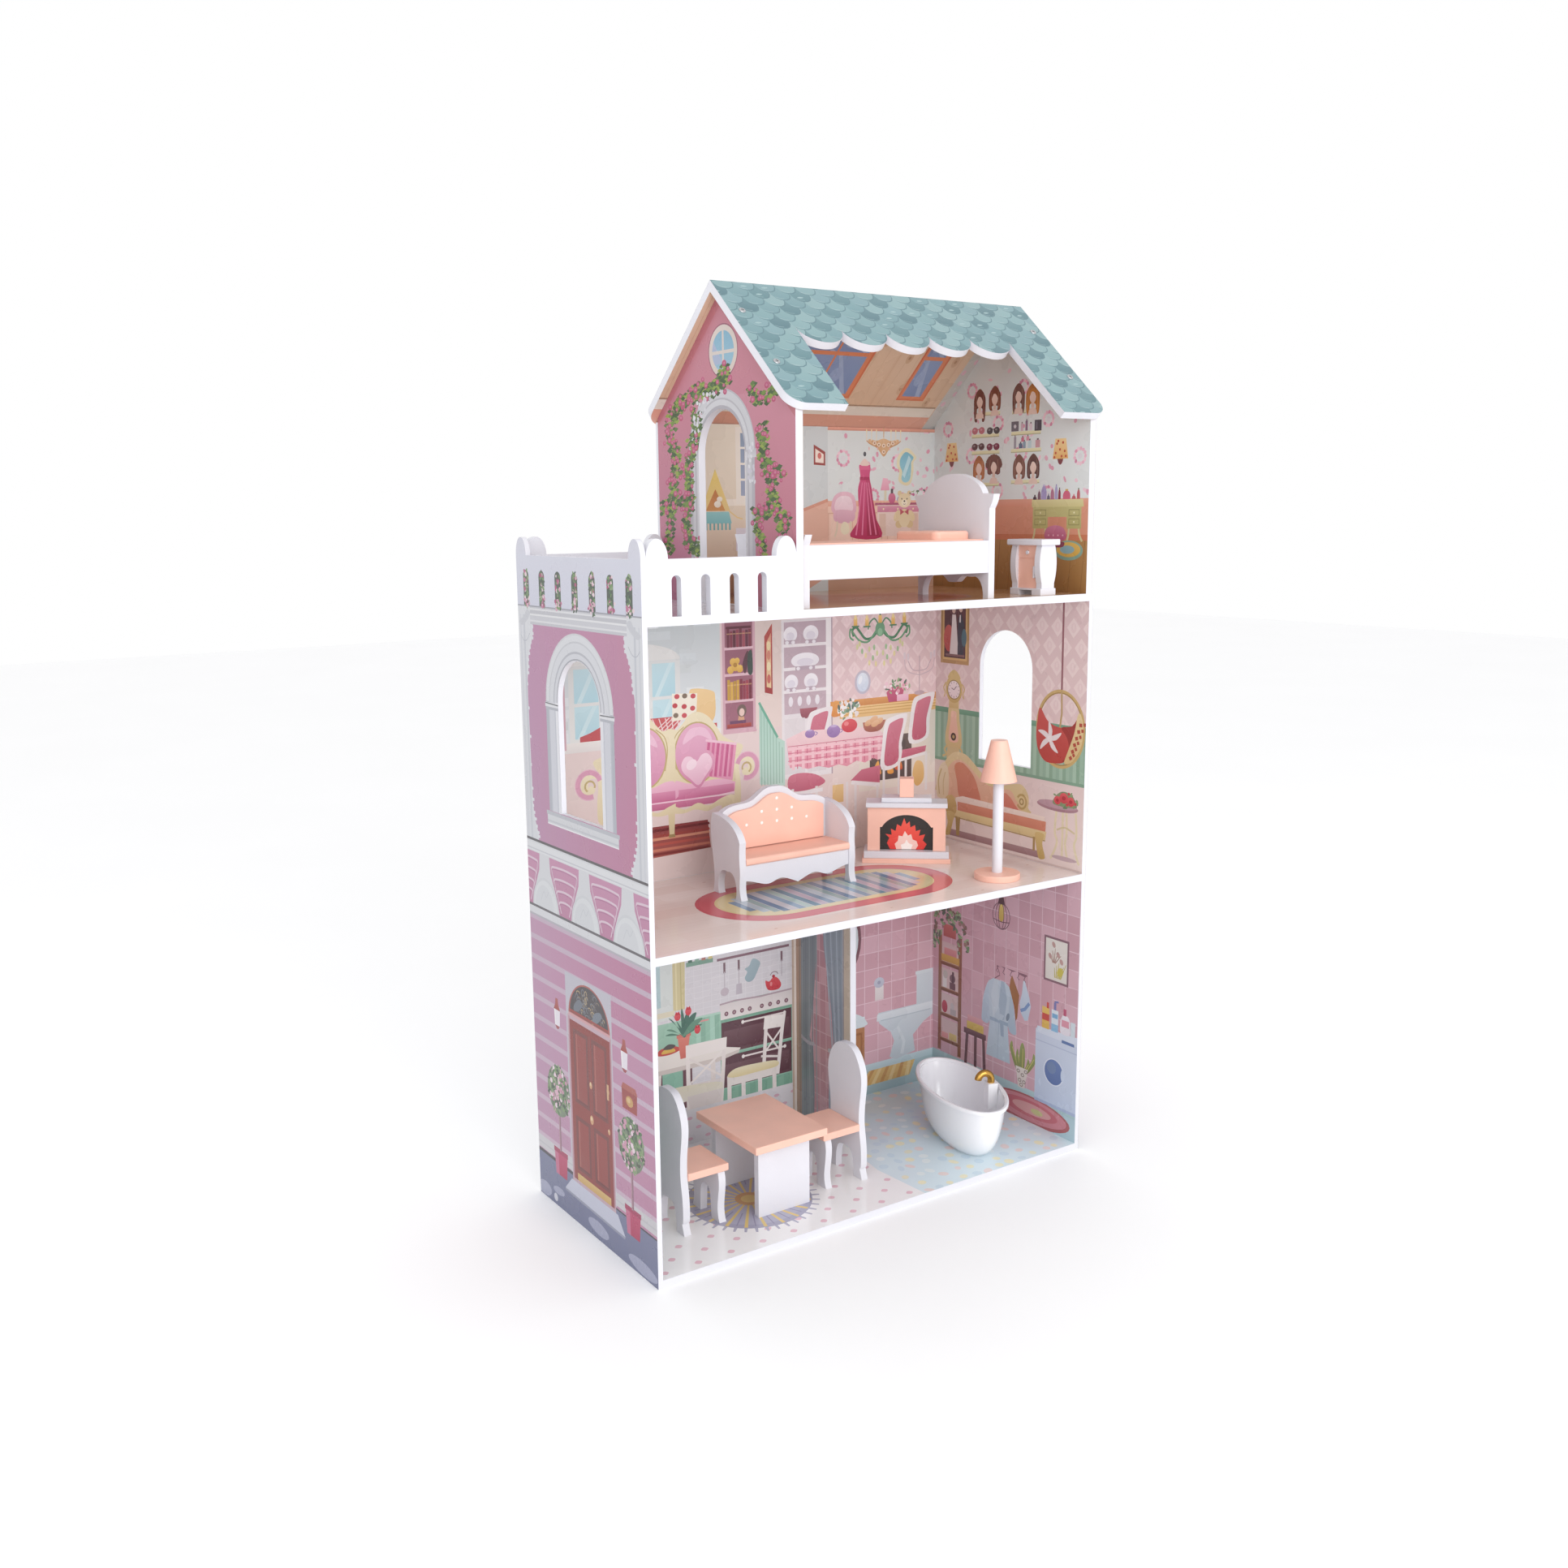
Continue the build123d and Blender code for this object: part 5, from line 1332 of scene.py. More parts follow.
def vanity(p):
    """Pink dressing table with a lamp and bottles."""
    p.rect(202, 777, 272, 818, "E2C5BC", "EAD3CB")
    p.rect(198, 817, 276, 820, "A0506A")
    p.rect(202, 808, 272, 816, "C67390", "D58CA5")
    for x in (212, 236, 262):
        p.oval(x, 812, 1.4, 1.4, "F0DDB0", steps=7)
    p.rect(205, 778, 216, 806, "D9B8A8")
    p.rect(258, 778, 270, 806, "D9B8A8")
    p.area([(207, 836), (222, 836), (219, 851), (211, 852)], "DE8FAA", "EBB0C4")
    p.rect(213, 822, 217, 836, "D6CDB2")
    p.oval(226, 826, 6, 7, "B84C72", "CB6C8C")
    p.rect(224, 832, 228, 838, "4E3E46")
    p.oval(238, 824, 3.4, 4, "9A86B8")


def teddy(p):
    """Seated teddy bear with a bow."""
    for q in p.both():
        q.oval(8, 832, 3.6, 3.6, "D9BF92")
        q.oval(12, 803, 5, 8, "E0C99E", turn=30)
        q.oval(9, 792, 6, 5, "D3B788")
    p.oval(0, 800, 9.5, 12, "E6D3AC", "DCC59A")
    p.oval(0, 823, 11, 9.5, "EAD9B4", "E0CBA2")
    p.oval(0, 820, 5, 4, "F3E8CE")
    p.oval(0, 822, 1.6, 1.2, "4A3A36", steps=8)
    for side in (-1, 1):
        p.oval(4.4 * side, 825, 1, 1.1, "3E302E", steps=7)
        p.area([(0, 808), (7 * side, 812), (7 * side, 804)], "B04A56")
    p.line([(-2, 818.6), (0, 817.6), (2, 818.6)], 0.7, "6E5650")


def wig(p, hair, length, style=0):
    """Wig on a plain featureless stand, chin at the origin."""
    wide = 10.5 if style else 9.5
    if style == 2:
        for k in range(9):
            a = radians(20 * k + 10)
            p.oval(11 * cos(a), 6 + 10 * sin(a), 5, 5, hair, steps=9)
    p.blob([(-wide, -length), (-wide - 1.5, 0), (-wide, 12), (0, 21), (wide, 12), (wide + 1.5, 0),
            (wide, -length), (wide - 5, -length - 1), (5, -4), (-5, -4), (-wide + 5, -length - 1)], hair,
           mixed(hair, "6E3A2A", 0.3))
    p.area([(-2.6, -8), (2.6, -8), (2.4, 0), (-2.4, 0)], "DDB9AA")
    p.area(smooth([(-8, -16), (-5, -9), (5, -9), (8, -16)], 3), "E2C2B4")
    p.oval(0, 5, 5.6, 7.6, "E3C0B0", "EBCDBF")
    p.blob([(-6.4, 4), (-6, 11), (0, 15), (6, 11), (6.4, 4), (3, 9.5), (-2, 11)], hair)
    for x in (-wide + 2, wide - 2):
        p.line([(x * 0.8, 14), (x, 2), (x, -length * 0.8)], 0.8, mixed(hair, "F0C0A0", 0.3))


def glasses(p, tone):
    """Pair of spectacles."""
    for side in (-1, 1):
        p.oval(6.4 * side, 0, 5.6, 4.4, tone)
        p.oval(6.4 * side - 1, 1.2, 2, 1.4, mixed(tone, "FFFFFF", 0.3), steps=8)
    p.line([(-2, 1.6), (2, 1.6)], 1.2, tone)


def wall_lamp(p):
    """Dotted orange shade with a dark mount, middle at the origin."""
    p.area([(-13, -12), (13, -12), (9, 12), (-9, 12)], "E0A45A", "EEC98A")
    for x, y in ((-6, 6), (4, 7), (-1, -1), (7, -3), (-8, -5), (2, -9), (-4, 9), (9, -9), (-10, -10)):
        p.oval(x, y, 1.7, 1.7, "B7442F", steps=8)
    p.area(smooth([(-5, -12), (-3, -17), (0, -19), (3, -17), (5, -12)], 3), "6A2A30")


def dressing_side(p):
    """Upper side wall: wigs, glasses, cosmetics, lamps and a green dressing table."""
    wreaths(p, -DEEP, DECK, DEEP, 1045, 43)
    p.rect(-DEEP, DECK, DEEP, 822, "C9765A", "D68A6E")
    p.rect(-DEEP, 813, DEEP, 822, "D8866C", "E09A82")
    p.rect(-DEEP, DECK, DEEP, 776, "8C5E30", "A3733F")
    p.rect(-DEEP, 772, DEEP, 779, "C06848")
    for k in range(14):
        x = -140 + 21 * k
        p.line([(x, 709), (x + 6, 772)], 0.8, "7A4F28")
    for y, x0, x1 in ((928, -60, -12), (901, -64, -13), (880, -64, -12), (840, -60, -12), (927, 10, 34),
                      (901, 9, 61), (880, 9, 62), (842, 10, 60)):
        p.rect(x0, y, x1, y + 3.6, "DDD8A6", "E6E2B8")
        p.rect(x0, y - 1, x1, y, "A8A47C")
    wig(p.at(-50, 940), "5C2B26", 18)
    wig(p.at(-22, 942), "6E3524", 8)
    wig(p.at(21, 942), "5E3A34", 14)
    wig(p.at(46, 940), "B86A26", 14, 1)
    wig(p.at(-50, 857), "A85A2C", 8)
    wig(p.at(-22, 858), "5E342C", 4, 2)
    wig(p.at(24, 856), "6B4034", 8)
    wig(p.at(49, 856), "4A2C2A", 8)
    glasses(p.at(-52, 909), "B4606E")
    glasses(p.at(-24, 908), "3E3A3E")
    glasses(p.at(-52, 889), "4A2C30")
    glasses(p.at(-24, 888), "6A2438")
    p.rect(9, 905, 22, 917, "5B5560")
    p.oval(15.5, 911, 2.4, 2.4, "C9C4CE")
    for x, y, w, h, c in ((26, 905, 4, 9, "C9A6B6"), (34, 905, 4, 12, "7A5C78"), (41, 905, 5, 8, "D9C6D2"),
                          (14, 884, 4, 14, "8F8794"), (23, 884, 6, 6, "4F5C78"), (30, 884, 5, 8, "7C93A6"),
                          (27, 892, 5, 5, "C8657E"), (39, 884, 6, 9, "B9D0D6"), (36, 893, 5, 5, "D98AA0"),
                          (52, 884, 8, 9, "C48E96")):
        p.rect(x, y, x + w, y + h, c)
        p.rect(x + w * 0.3, y + h, x + w * 0.7, y + h + 2, "5E4A54")
    p.rect(50, 904, 62, 917, "3A3440")
    p.rect(52, 906, 55, 915, "5A5262")
    wall_lamp(p.at(-103, 884))
    wall_lamp(p.at(95, 881))
    green_table(p)


def green_table(p):
    """Green dressing table with bottles, a pink pouf and an oval mat."""
    p.area([(48, 812), (136, 812), (134, 821), (48, 821)], "C9BD7C", "D6CB90")
    for x0, x1 in ((50, 76), (108, 132)):
        p.rect(x0, 786, x1, 812, "A8A05E", "B8B070")
        p.frame(x0 + 3, 790, x1 - 3, 798, 1, "857E48")
        p.frame(x0 + 3, 801, x1 - 3, 809, 1, "857E48")
        p.oval((x0 + x1) / 2, 794, 1.2, 1.2, "E6DFB4", steps=7)
        p.oval((x0 + x1) / 2, 805, 1.2, 1.2, "E6DFB4", steps=7)
    p.rect(76, 800, 108, 812, "B5AC6C")
    p.rect(80, 786, 106, 800, "CE7F62")
    for x, d in ((54, -4), (72, 3), (112, -3), (128, 6)):
        p.line([(x, 786), (x + d * 0.3, 778), (x + d, 771)], 3, "C5BB84", curve=3)
    p.oval(112, 760, 24, 12, "6F9482", "7FA390")
    p.oval(112, 761, 20, 9, "CE9C3E", "D8AC50")
    p.oval(110, 761, 12, 5, "7FA7B0")
    p.blob([(72, 774), (74, 786), (90, 790), (104, 786), (107, 774), (90, 770)], "A83E62", "C46C8C")
    for k in range(4):
        p.oval(78 + 8 * k, 778, 1.3, 1.1, "DDA0B4", steps=7)
    p.blob([(86, 764), (84, 770), (104, 770), (102, 764)], "7A3548", steps=5)
    for x, w, h, c, top in ((50, 6, 4, "3E2E38", "3E2E38"), (58, 5, 10, "6E4A5C", "C0A8B8"),
                            (64, 9, 16, "9A8CC0", "B8B0D8"), (74, 5, 5, "57506A", "7A7490"),
                            (80, 6, 12, "A86480", "D4A8B8"), (87, 5, 16, "9E96C6", "8A80B0"),
                            (93, 4, 12, "7A2438", "2E2430"), (101, 12, 10, "C8526E", "C8A04C"),
                            (116, 6, 4, "B8505C", "D08088"), (124, 5, 11, "B5505A", "5E7A5C")):
        p.area(smooth([(x, 821), (x, 821 + h * 0.6), (x + w * 0.3, 821 + h), (x + w * 0.7, 821 + h),
                       (x + w, 821 + h * 0.6), (x + w, 821)], 3), c)
        p.rect(x + w * 0.3, 821 + h, x + w * 0.7, 823 + h, top)


def dressing_floor(p):
    """Brown boards, a banded rug and the grey tiled terrace."""
    # the boards' ground turns darker towards the back: painted shade
    p.rect(-116, -DEEP, 307, REAR, "A87550", "8A5C3C")
    rnd = random.Random(17)
    for k in range(11):
        y = -143 + 25.6 * k
        for j in range(4):
            x = -116 + 106 * j + (53 if k % 2 else 0)
            p.rect(x + 0.6, y + 0.6, x + 105, y + 25, rnd.choice(["A4714C", "9A6843", "AE7C55", "946240"]))
            p.line([(x + 6, y + 8), (x + 50, y + 10), (x + 100, y + 7)], 0.7, "835635", curve=4)
            p.line([(x + 10, y + 17), (x + 60, y + 19), (x + 96, y + 16)], 0.7, "8C5D3A", curve=4)
    for rx, ry, c in ((128, 96, "8A7480"), (122, 91, "A9545A"), (104, 76, "8C3338"), (70, 50, "A8525A"),
                      (44, 30, "C0848A")):
        p.oval(60, -34, rx, ry, c, steps=48)
    # the terrace's ground turns darker towards the back: painted shade
    p.rect(-WIDE, -DEEP, -125, REAR, "A9A4AA", "96919A")
    for k in range(9):
        for j in range(6):
            p.rect(-303 + 30 * j, -142 + 31.4 * k, -275 + 30 * j, -112.6 + 31.4 * k,
                   rnd.choice(["ADA8AE", "B9B4B9", "A19CA3"]))


def gable_wall(p):
    """Outer face of the upper gable wall: round window, arched door and climbing roses."""
    p.rect(-DEEP, DECK, DEEP, 1060, "D07F95", "D58C9C")
    p.area([(-143, 709), (-143, 930), (-60, 1000), (-60, 709)], "CA7F9B", "D48898")
    for x0, x1, c in ((60, 143, "CC778B"), (20, 60, "D58498"), (-60, 20, "D792AB")):
        p.rect(x0, 709, x1, 935, c, "D790A2")
    p.area([(-143, 905), (-143, 940), (0, 1062), (143, 940), (143, 905), (0, 1030)], "CC7B89")
    for q in p.both():
        q.rect(47, DECK, 67, 876, "D3CED4", "DAD8DC")
        q.rect(47, 709, 50, 876, "E6E3E8")
        q.rect(53, 709, 55, 876, "BDB8C0")
        q.rect(61, 709, 67, 876, "C4BFC7")
        q.rect(46, 868, 70, 877, "E0DDE2", "CBC7CE")
    for radius, c in ((68, "C9C6CD"), (66, "DCDBE0"), (58, "C6C3CA"), (56, "E0DFE4"), (50, "BDB9C1")):
        p.oval(0, 876, radius, radius, c, start=0, stop=180, steps=36)
    p.oval(7, 983, 30, 29, "A8657C")
    p.oval(7, 983, 28.5, 27.5, "E9D8CE", "EFE2DA", steps=40)
    p.oval(7, 983, 22, 21.5, "A6CCE0", "8FC2DC", steps=36)
    p.area(ring(7, 983, 22, 21.5, start=150, stop=220, steps=10) + [(7, 970)], "B7C4E0")
    p.rect(5.2, 961, 8.8, 1005, "E9DDD6")
    p.rect(-16, 980, 30, 983.6, "E9DDD6")
    climbing_roses(p)


def climbing_roses(p):
    """Two columns of roses beside the door, meeting over its arch."""
    lush = ["64803F", "7C983F", "3F5A2C", "9CB04C", "4A6838"]
    stems = [  # line, half width, leaves per millimetre
        ([(-48, 770), (-70, 776), (-76, 800), (-68, 824), (-70, 850), (-64, 880), (-50, 900), (-54, 926)],
         9, 1.25),
        ([(-118, 770), (-112, 796), (-108, 824), (-100, 850), (-96, 876), (-110, 896), (-104, 918),
          (-84, 932)], 10, 1.15),
        ([(-130, 815), (-100, 824), (-70, 822)], 7, 0.8),
        ([(-88, 932), (-66, 938), (-44, 946), (-24, 942), (-2, 950), (8, 962), (14, 950)], 8, 1.3),
        ([(62, 938), (66, 930), (88, 928), (108, 936)], 7, 1.2),
        ([(84, 900), (82, 880), (86, 862), (96, 850), (100, 830), (100, 818)], 9, 1.3),
        ([(98, 862), (112, 852), (122, 846)], 4, 0.5),
        ([(68, 808), (84, 808), (100, 818), (116, 806), (126, 798)], 7, 1.2),
        ([(70, 800), (76, 786), (80, 768)], 7, 1.2),
        ([(112, 800), (118, 788), (120, 778)], 7, 1.0),
    ]
    rnd = random.Random(77)
    for line, wide, thick in stems:
        path = smooth(line, 10)
        p.line(path, 1.2, "6E5A44")
        length = path_length(path)
        for _ in range(int(length * thick * 1.5)):
            x, y = path[rnd.randrange(len(path))]
            size = rnd.uniform(3, 6)
            x, y = x + rnd.uniform(-wide, wide), y + rnd.uniform(-wide, wide)
            p.area([(x - size, y), (x, y + size * 0.55), (x + size * 1.1, y + size * 0.2),
                    (x, y - size * 0.5)], rnd.choice(lush))
        for _ in range(int(length / 4)):
            x, y = path[rnd.randrange(len(path))]
            x, y = x + rnd.uniform(-wide, wide) * 1.4, y + rnd.uniform(-wide, wide) * 1.4
            r = rnd.uniform(2.6, 4.8)
            p.oval(x, y, r, r * 0.8, "C04A72", "D0668C", steps=8)
            p.oval(x, y, r * 0.5, r * 0.35, "D9829F", steps=6)
    for x, y, spread_x, spread_y in ((-40, 925, 12, 9), (-24, 935, 12, 6), (-52, 908, 7, 9),
                                     (58, 872, 8, 14), (60, 850, 7, 10)):
        for _ in range(13):
            a, b = x + rnd.uniform(-spread_x, spread_x), y + rnd.uniform(-spread_y, spread_y)
            p.oval(a, b, 2.6, 2, rnd.choice(["E6E3EA", "DCD7E2", "EFEDF2"]), turn=rnd.uniform(0, 180),
                   steps=7)


# ---------------------------------------------------------------- roof
def shingles(p, x0, x1, length, seed):
    """Rows of round-ended teal shingles, ridge at y = 0."""
    p.rect(x0, -length, x1, 10, "8FB9C0")
    rnd = random.Random(seed)
    wide, step = 27.5, 13.2
    rows = int(length / step) + 2
    for j in range(rows, -2, -1):
        low = -step * (j + 1)
        x = x0 - wide + (wide / 2 if j % 2 else 0)
        k = 0
        while x < x1 + wide:
            dark = j % 2 == 1 and (k + j // 2) % 2 == 0
            tone = rnd.choice(["6A97A1", "64919C", "729FA8"]) if dark else rnd.choice(["93BDC3", "9CC4C9",
                                                                                       "8AB5BD", "A3C9CD",
                                                                                       "96BEC6"])
            body = [(x + 1, low + 30), (x + 1, low + 9), (x + 4, low + 3.4), (x + 9, low + 0.6),
                    (x + wide / 2, low), (x + wide - 9, low + 0.6), (x + wide - 4, low + 3.4), (x + wide - 1,
                                                                                                low + 9),
                    (x + wide - 1, low + 30)]
            p.area([(a + 0.8, b - 1.2) for a, b in body], "6F98A2")
            p.area(body, tone, mixed(tone, "B9D8DA", 0.35))
            p.line([(x + 5, low + 4), (x + 10, low + 2), (x + 16, low + 1.8)], 0.8, mixed(tone, "D8ECEC",
                                                                                          0.5))
            if rnd.random() < 0.08:
                p.blob([(x + 8, low + 6), (x + 12, low + 8), (x + 17, low + 7), (x + 12, low + 5)], "B8DADD",
                       steps=5)
            x += wide
            k += 1


def front_shingles(p):
    """Front slope."""
    shingles(p, -136, 318, 206, 51)


def back_shingles(p):
    """Back slope."""
    shingles(p, -318, 136, 206, 52)


def attic(p):
    """Underside of the back slope: wood, skylights and a painted cornice; ridge at y = 0."""
    p.rect(-136, -4, 318, 210, "DDBB9C", "D0A988")
    rnd = random.Random(61)
    for k in range(9):
        x = -130 + 50 * k
        p.rect(x, 0, x + 0.8, 170, "C8A07C")
        p.rect(x + 3, 0, x + 47, 170, rnd.choice(["DFBE9F", "DAB797", "E2C3A6"]), "D6B190")
        for _ in range(4):
            a, b = x + rnd.uniform(6, 44), rnd.uniform(10, 160)
            p.oval(a, b, 5, 9, "C8A07E", steps=12)
            p.oval(a, b, 2, 3, "A97E60", steps=9)
        p.line([(x + 12, 4), (x + 15, 80), (x + 11, 165)], 0.8, "CBA684", curve=4)
        p.line([(x + 34, 4), (x + 31, 90), (x + 36, 165)], 0.8, "CEAA88", curve=4)
    for x0, x1 in ((-112, -8), (22, 131), (206, 251)):
        p.rect(x0, 52, x1, 152, "C7573A", "D06A48")
        p.rect(x0 + 3, 55, x1 - 3, 149, "DA7B54")
        for y0, y1 in ((59, 79), (85, 145)):
            step = (x1 - x0 - 12) / max(1, round((x1 - x0 - 12) / 46))
            x = x0 + 6
            while x < x1 - 10:
                p.rect(x, y0, x + step - 3, y1, "7D93BE", "6F86B4")
                p.area([(x + 3, y0), (x + 9, y0), (x + step - 5, y1), (x + step - 12, y1)], "93A8CC")
                p.oval(x + step * 0.3, (y0 + y1) / 2, step * 0.18, (y1 - y0) * 0.2, "8AA0C8", steps=12)
                x += step
    p.area([(286, -4), (318, -4), (318, 210), (279, 210)], "BDB6AE", "C3C2BE")
    for k in range(9):
        p.oval(292 + 5 * sin(k * 2.1), 12 + 18 * k, 3.4, 4.4, "D9AEBB", steps=9)
    p.rect(-136, 164, 279, 182, "E2D6C6", "EADFD0")
    # dark line along the cornice's upper edge: painted shade of the corner where the slope meets the back
    # wall
    p.rect(-136, 162, 279, 164.5, "9E7C62")
    p.rect(-136, 180, 279, 210, "DE9880", "E5A68E")


def attic_front(p):
    """Underside of the front slope."""
    p.rect(-136, -4, 318, 210, "D4AF8E", "C49A7A")
    rnd = random.Random(62)
    for k in range(10):
        x = -130 + 46 * k
        p.rect(x, -2, x + 0.8, 210, "BF9674")
        for _ in range(4):
            a, b = x + rnd.uniform(6, 40), rnd.uniform(10, 195)
            p.oval(a, b, 4, 7, "C8A07E", steps=12)
            p.oval(a, b, 1.6, 2.4, "A97E60", steps=9)
        p.line([(x + 12, 2), (x + 15, 90), (x + 11, 200)], 0.8, "BC9272", curve=4)


# ---------------------------------------------------------------- faces away from the front
def long_wall_in(p):
    """Inner face of the left wall: kitchen shelves below, framed pictures above."""
    tiled(p, -DEEP, GROUND, DEEP, LOW_CEILING, "D3CED4", "DEDADF", 13, 7.5, 0, 180, 0.7)
    p.rect(-DEEP, GROUND, DEEP, 56, "CFCBD0", "D7D2D6")
    p.rect(-DEEP, 52, DEEP, 58, "B9C4BE")
    for y in (210, 262):
        p.rect(-70, y, 80, y + 5, "8DBBA4", "9FCAB6")
        for k in range(8):
            x = -62 + 18 * k
            p.oval(x, y + 14, 6.5, 8.5, ["E4DDD9", "C8363F", "D9C48C", "8BA1AC"][(k + y) % 4], steps=14)
            p.rect(x - 4, y + 20, x + 4, y + 24, "6B4E57")
    p.rect(-60, 60, 70, 170, "78A891", "86B29C")
    for x in (-54, 10):
        p.frame(x, 68, x + 54, 162, 2, "5F8F79")
        p.oval(x + 27, 154, 3, 3, "E2D8D6")
    p.rect(-64, 168, 74, 175, "E2D8D6")
    damask(p, -DEEP, 545, DEEP, HIGH_CEILING, "DDBDC0", "E6CBCC", 24)
    wainscot(p, -DEEP)
    p.rect(-DEEP, MIDDLE, DEEP, 472, "E2CEC9", "D9C3C0")
    for x in (-112, 74):
        p.rect(x, 590, x + 40, 645, "A67B4C", "B98C5A")
        p.rect(x + 4, 594, x + 36, 641, "E6DCCB")
        foliage(p.at(x + 20, 618), 11, 14, 26, 3.4, x, GREENS, ROSES, 0.5)
    p.rect(-DEEP, 700, DEEP, 790, "E4E3EC", "EAE9F0")


def gable_wall_in(p):
    """Inner face of the upper gable wall: wallpaper over a peach wainscot."""
    wreaths(p, -DEEP, DECK, DEEP, 1045, 45)
    p.rect(-DEEP, DECK, DEEP, 822, "E6B5A0", "EBC0AC")
    p.rect(-DEEP, 816, DEEP, 823, "DE9A84", "E8AE98")
    p.rect(-DEEP, DECK, DEEP, 736, "B98A72", "C99C84")
    for q in p.both():
        q.rect(47, DECK, 58, 876, "EADFD8", "F0E6E0")
        q.rect(56, 709, 58, 876, "CDBFB8")
    p.oval(0, 876, 59, 59, "EADFD8", start=0, stop=180)
    p.oval(0, 876, 51, 51, "CDBFB8", start=0, stop=180)
    wall_lamp(p.at(-95, 884))
    wall_lamp(p.at(95, 884))


def garden_wall(p):
    """Outer face of the right wall: siding, shuttered windows and roses."""
    p.rect(-DEEP, 58, DEEP, 350, "D3BACD", "C9B3C6")
    for k in range(12):
        p.rect(-DEEP, 327 - 24.6 * k, DEEP, 345.4 - 24.6 * k, "C38FAE", "C998B5")
    p.rect(-DEEP, 60, DEEP, 76, "D5D3D8")
    p.rect(-DEEP, 54, DEEP, 58, "4D4B52")
    p.rect(-DEEP, 0, DEEP, 55, "8489A8", "878CAA")
    for x in (-48, 48):
        shuttered(p.at(x, 150, size=1.25))
    topiary(p.at(-108, 42), 13)
    topiary(p.at(108, 42), 14)
    lantern(p.at(0, 240))
    corbels(p)
    facade_top(p)


def shuttered(p):
    """Small window with green shutters and a flower box, sill at the origin."""
    p.rect(-22, 0, 22, 84, "E4E3EA")
    p.rect(-18, 4, 18, 80, "A6CCE0", "8FC2DC")
    p.area([(-14, 4), (-8, 4), (16, 70), (16, 80)], "C4DEEA")
    p.rect(-1.4, 4, 1.4, 80, "E4E3EA")
    p.rect(-18, 42, 18, 44.6, "E4E3EA")
    for q in p.both():
        q.rect(23, 0, 35, 84, "7DA693", "8AB3A0")
        for k in range(9):
            q.rect(25, 5 + 8.6 * k, 33, 8 + 8.6 * k, "658E7B")
    p.rect(-26, -10, 26, 0, "B4655C", "C07A6E")
    foliage(p.at(0, 3), 26, 7, 46, 3.6, 19, GREENS, ROSES, 0.5)


def gable_far(p):
    """Outer face of the far gable wall."""
    p.rect(-DEEP, DECK, DEEP, 1060, "C4748A", "C98090")
    p.area([(-143, 905), (-143, 940), (0, 1062), (143, 940), (143, 905), (0, 1030)], "C0707E")
    p.oval(0, 983, 28.5, 27.5, "E9D8CE", "EFE2DA", steps=40)
    p.oval(0, 983, 22, 21.5, "A6CCE0", "8FC2DC", steps=36)
    p.rect(-1.8, 961, 1.8, 1005, "E9DDD6")
    p.rect(-22, 981, 22, 984.6, "E9DDD6")
    for x in (-66, 66):
        shuttered(p.at(x, 790))
    for q in p.both()[::-1]:
        vine(q, smooth([(120, 712), (116, 760), (122, 810), (112, 860), (96, 905)], 8), 9, 91, 1.3, 4.4,
             ROSES, 0.3)
        vine(q, smooth([(14, 712), (18, 752), (8, 800), (2, 850)], 8), 7, 92, 1.1, 4.0, ROSES, 0.3)


def living_back(p):
    """Whole face behind the living room."""
    lounge_left(p)
    lounge_right(p)


def flames(p):
    """Red fire with a pale core, hearth at the origin."""
    p.rect(-60, -5, 60, 90, "17110F")
    p.area([(-21, 0), (-25, 8), (-22, 15), (-27, 20), (-19, 19), (-20, 27), (-14, 24), (-12, 33), (-7, 30),
            (-3, 41), (0, 33), (4, 37), (5, 29), (11, 32), (12, 24), (18, 26), (16, 18), (24, 20), (21, 12),
            (26, 7), (22, 0)], "D8201C", "F04636")
    p.area([(-13, 0), (-15, 7), (-11, 11), (-10, 18), (-5, 17), (-2, 24), (2, 18), (6, 20), (8, 13),
            (13, 11), (15, 5), (12, 0)], "F4B5A8", "F7D3C6")
    p.area([(-6, 0), (-7, 6), (-2, 8), (0, 13), (3, 8), (8, 6), (6, 0)], "FBEDE6")


def buttons(p):
    """Rows of pale buttons."""
    for y, row in ((66, (0,)), (52, (-22, 0, 22)), (38, (-44, -22, 0, 22, 44))):
        for x in row:
            p.oval(x, y, 1.9, 1.9, "FBF4F0", steps=14)


# ---------------------------------------------------------------- where each print lies
X, Y, Z = (1, 0, 0), (0, 1, 0), (0, 0, 1)
LEFT, FRONT = (-1, 0, 0), (0, -1, 0)
ROOF_SIN, ROOF_COS = sin(radians(42.2)), cos(radians(42.2))
FIRE_SIN, FIRE_COS = sin(radians(39.7)), cos(radians(39.7))
BASE, RIDGE = (0, 0, 0), (0, 0, 1.057)
HEARTH, SOFA_MIDDLE = (0.1648, 0.0292, 0.3792), (-0.026, 0, 0.4036)

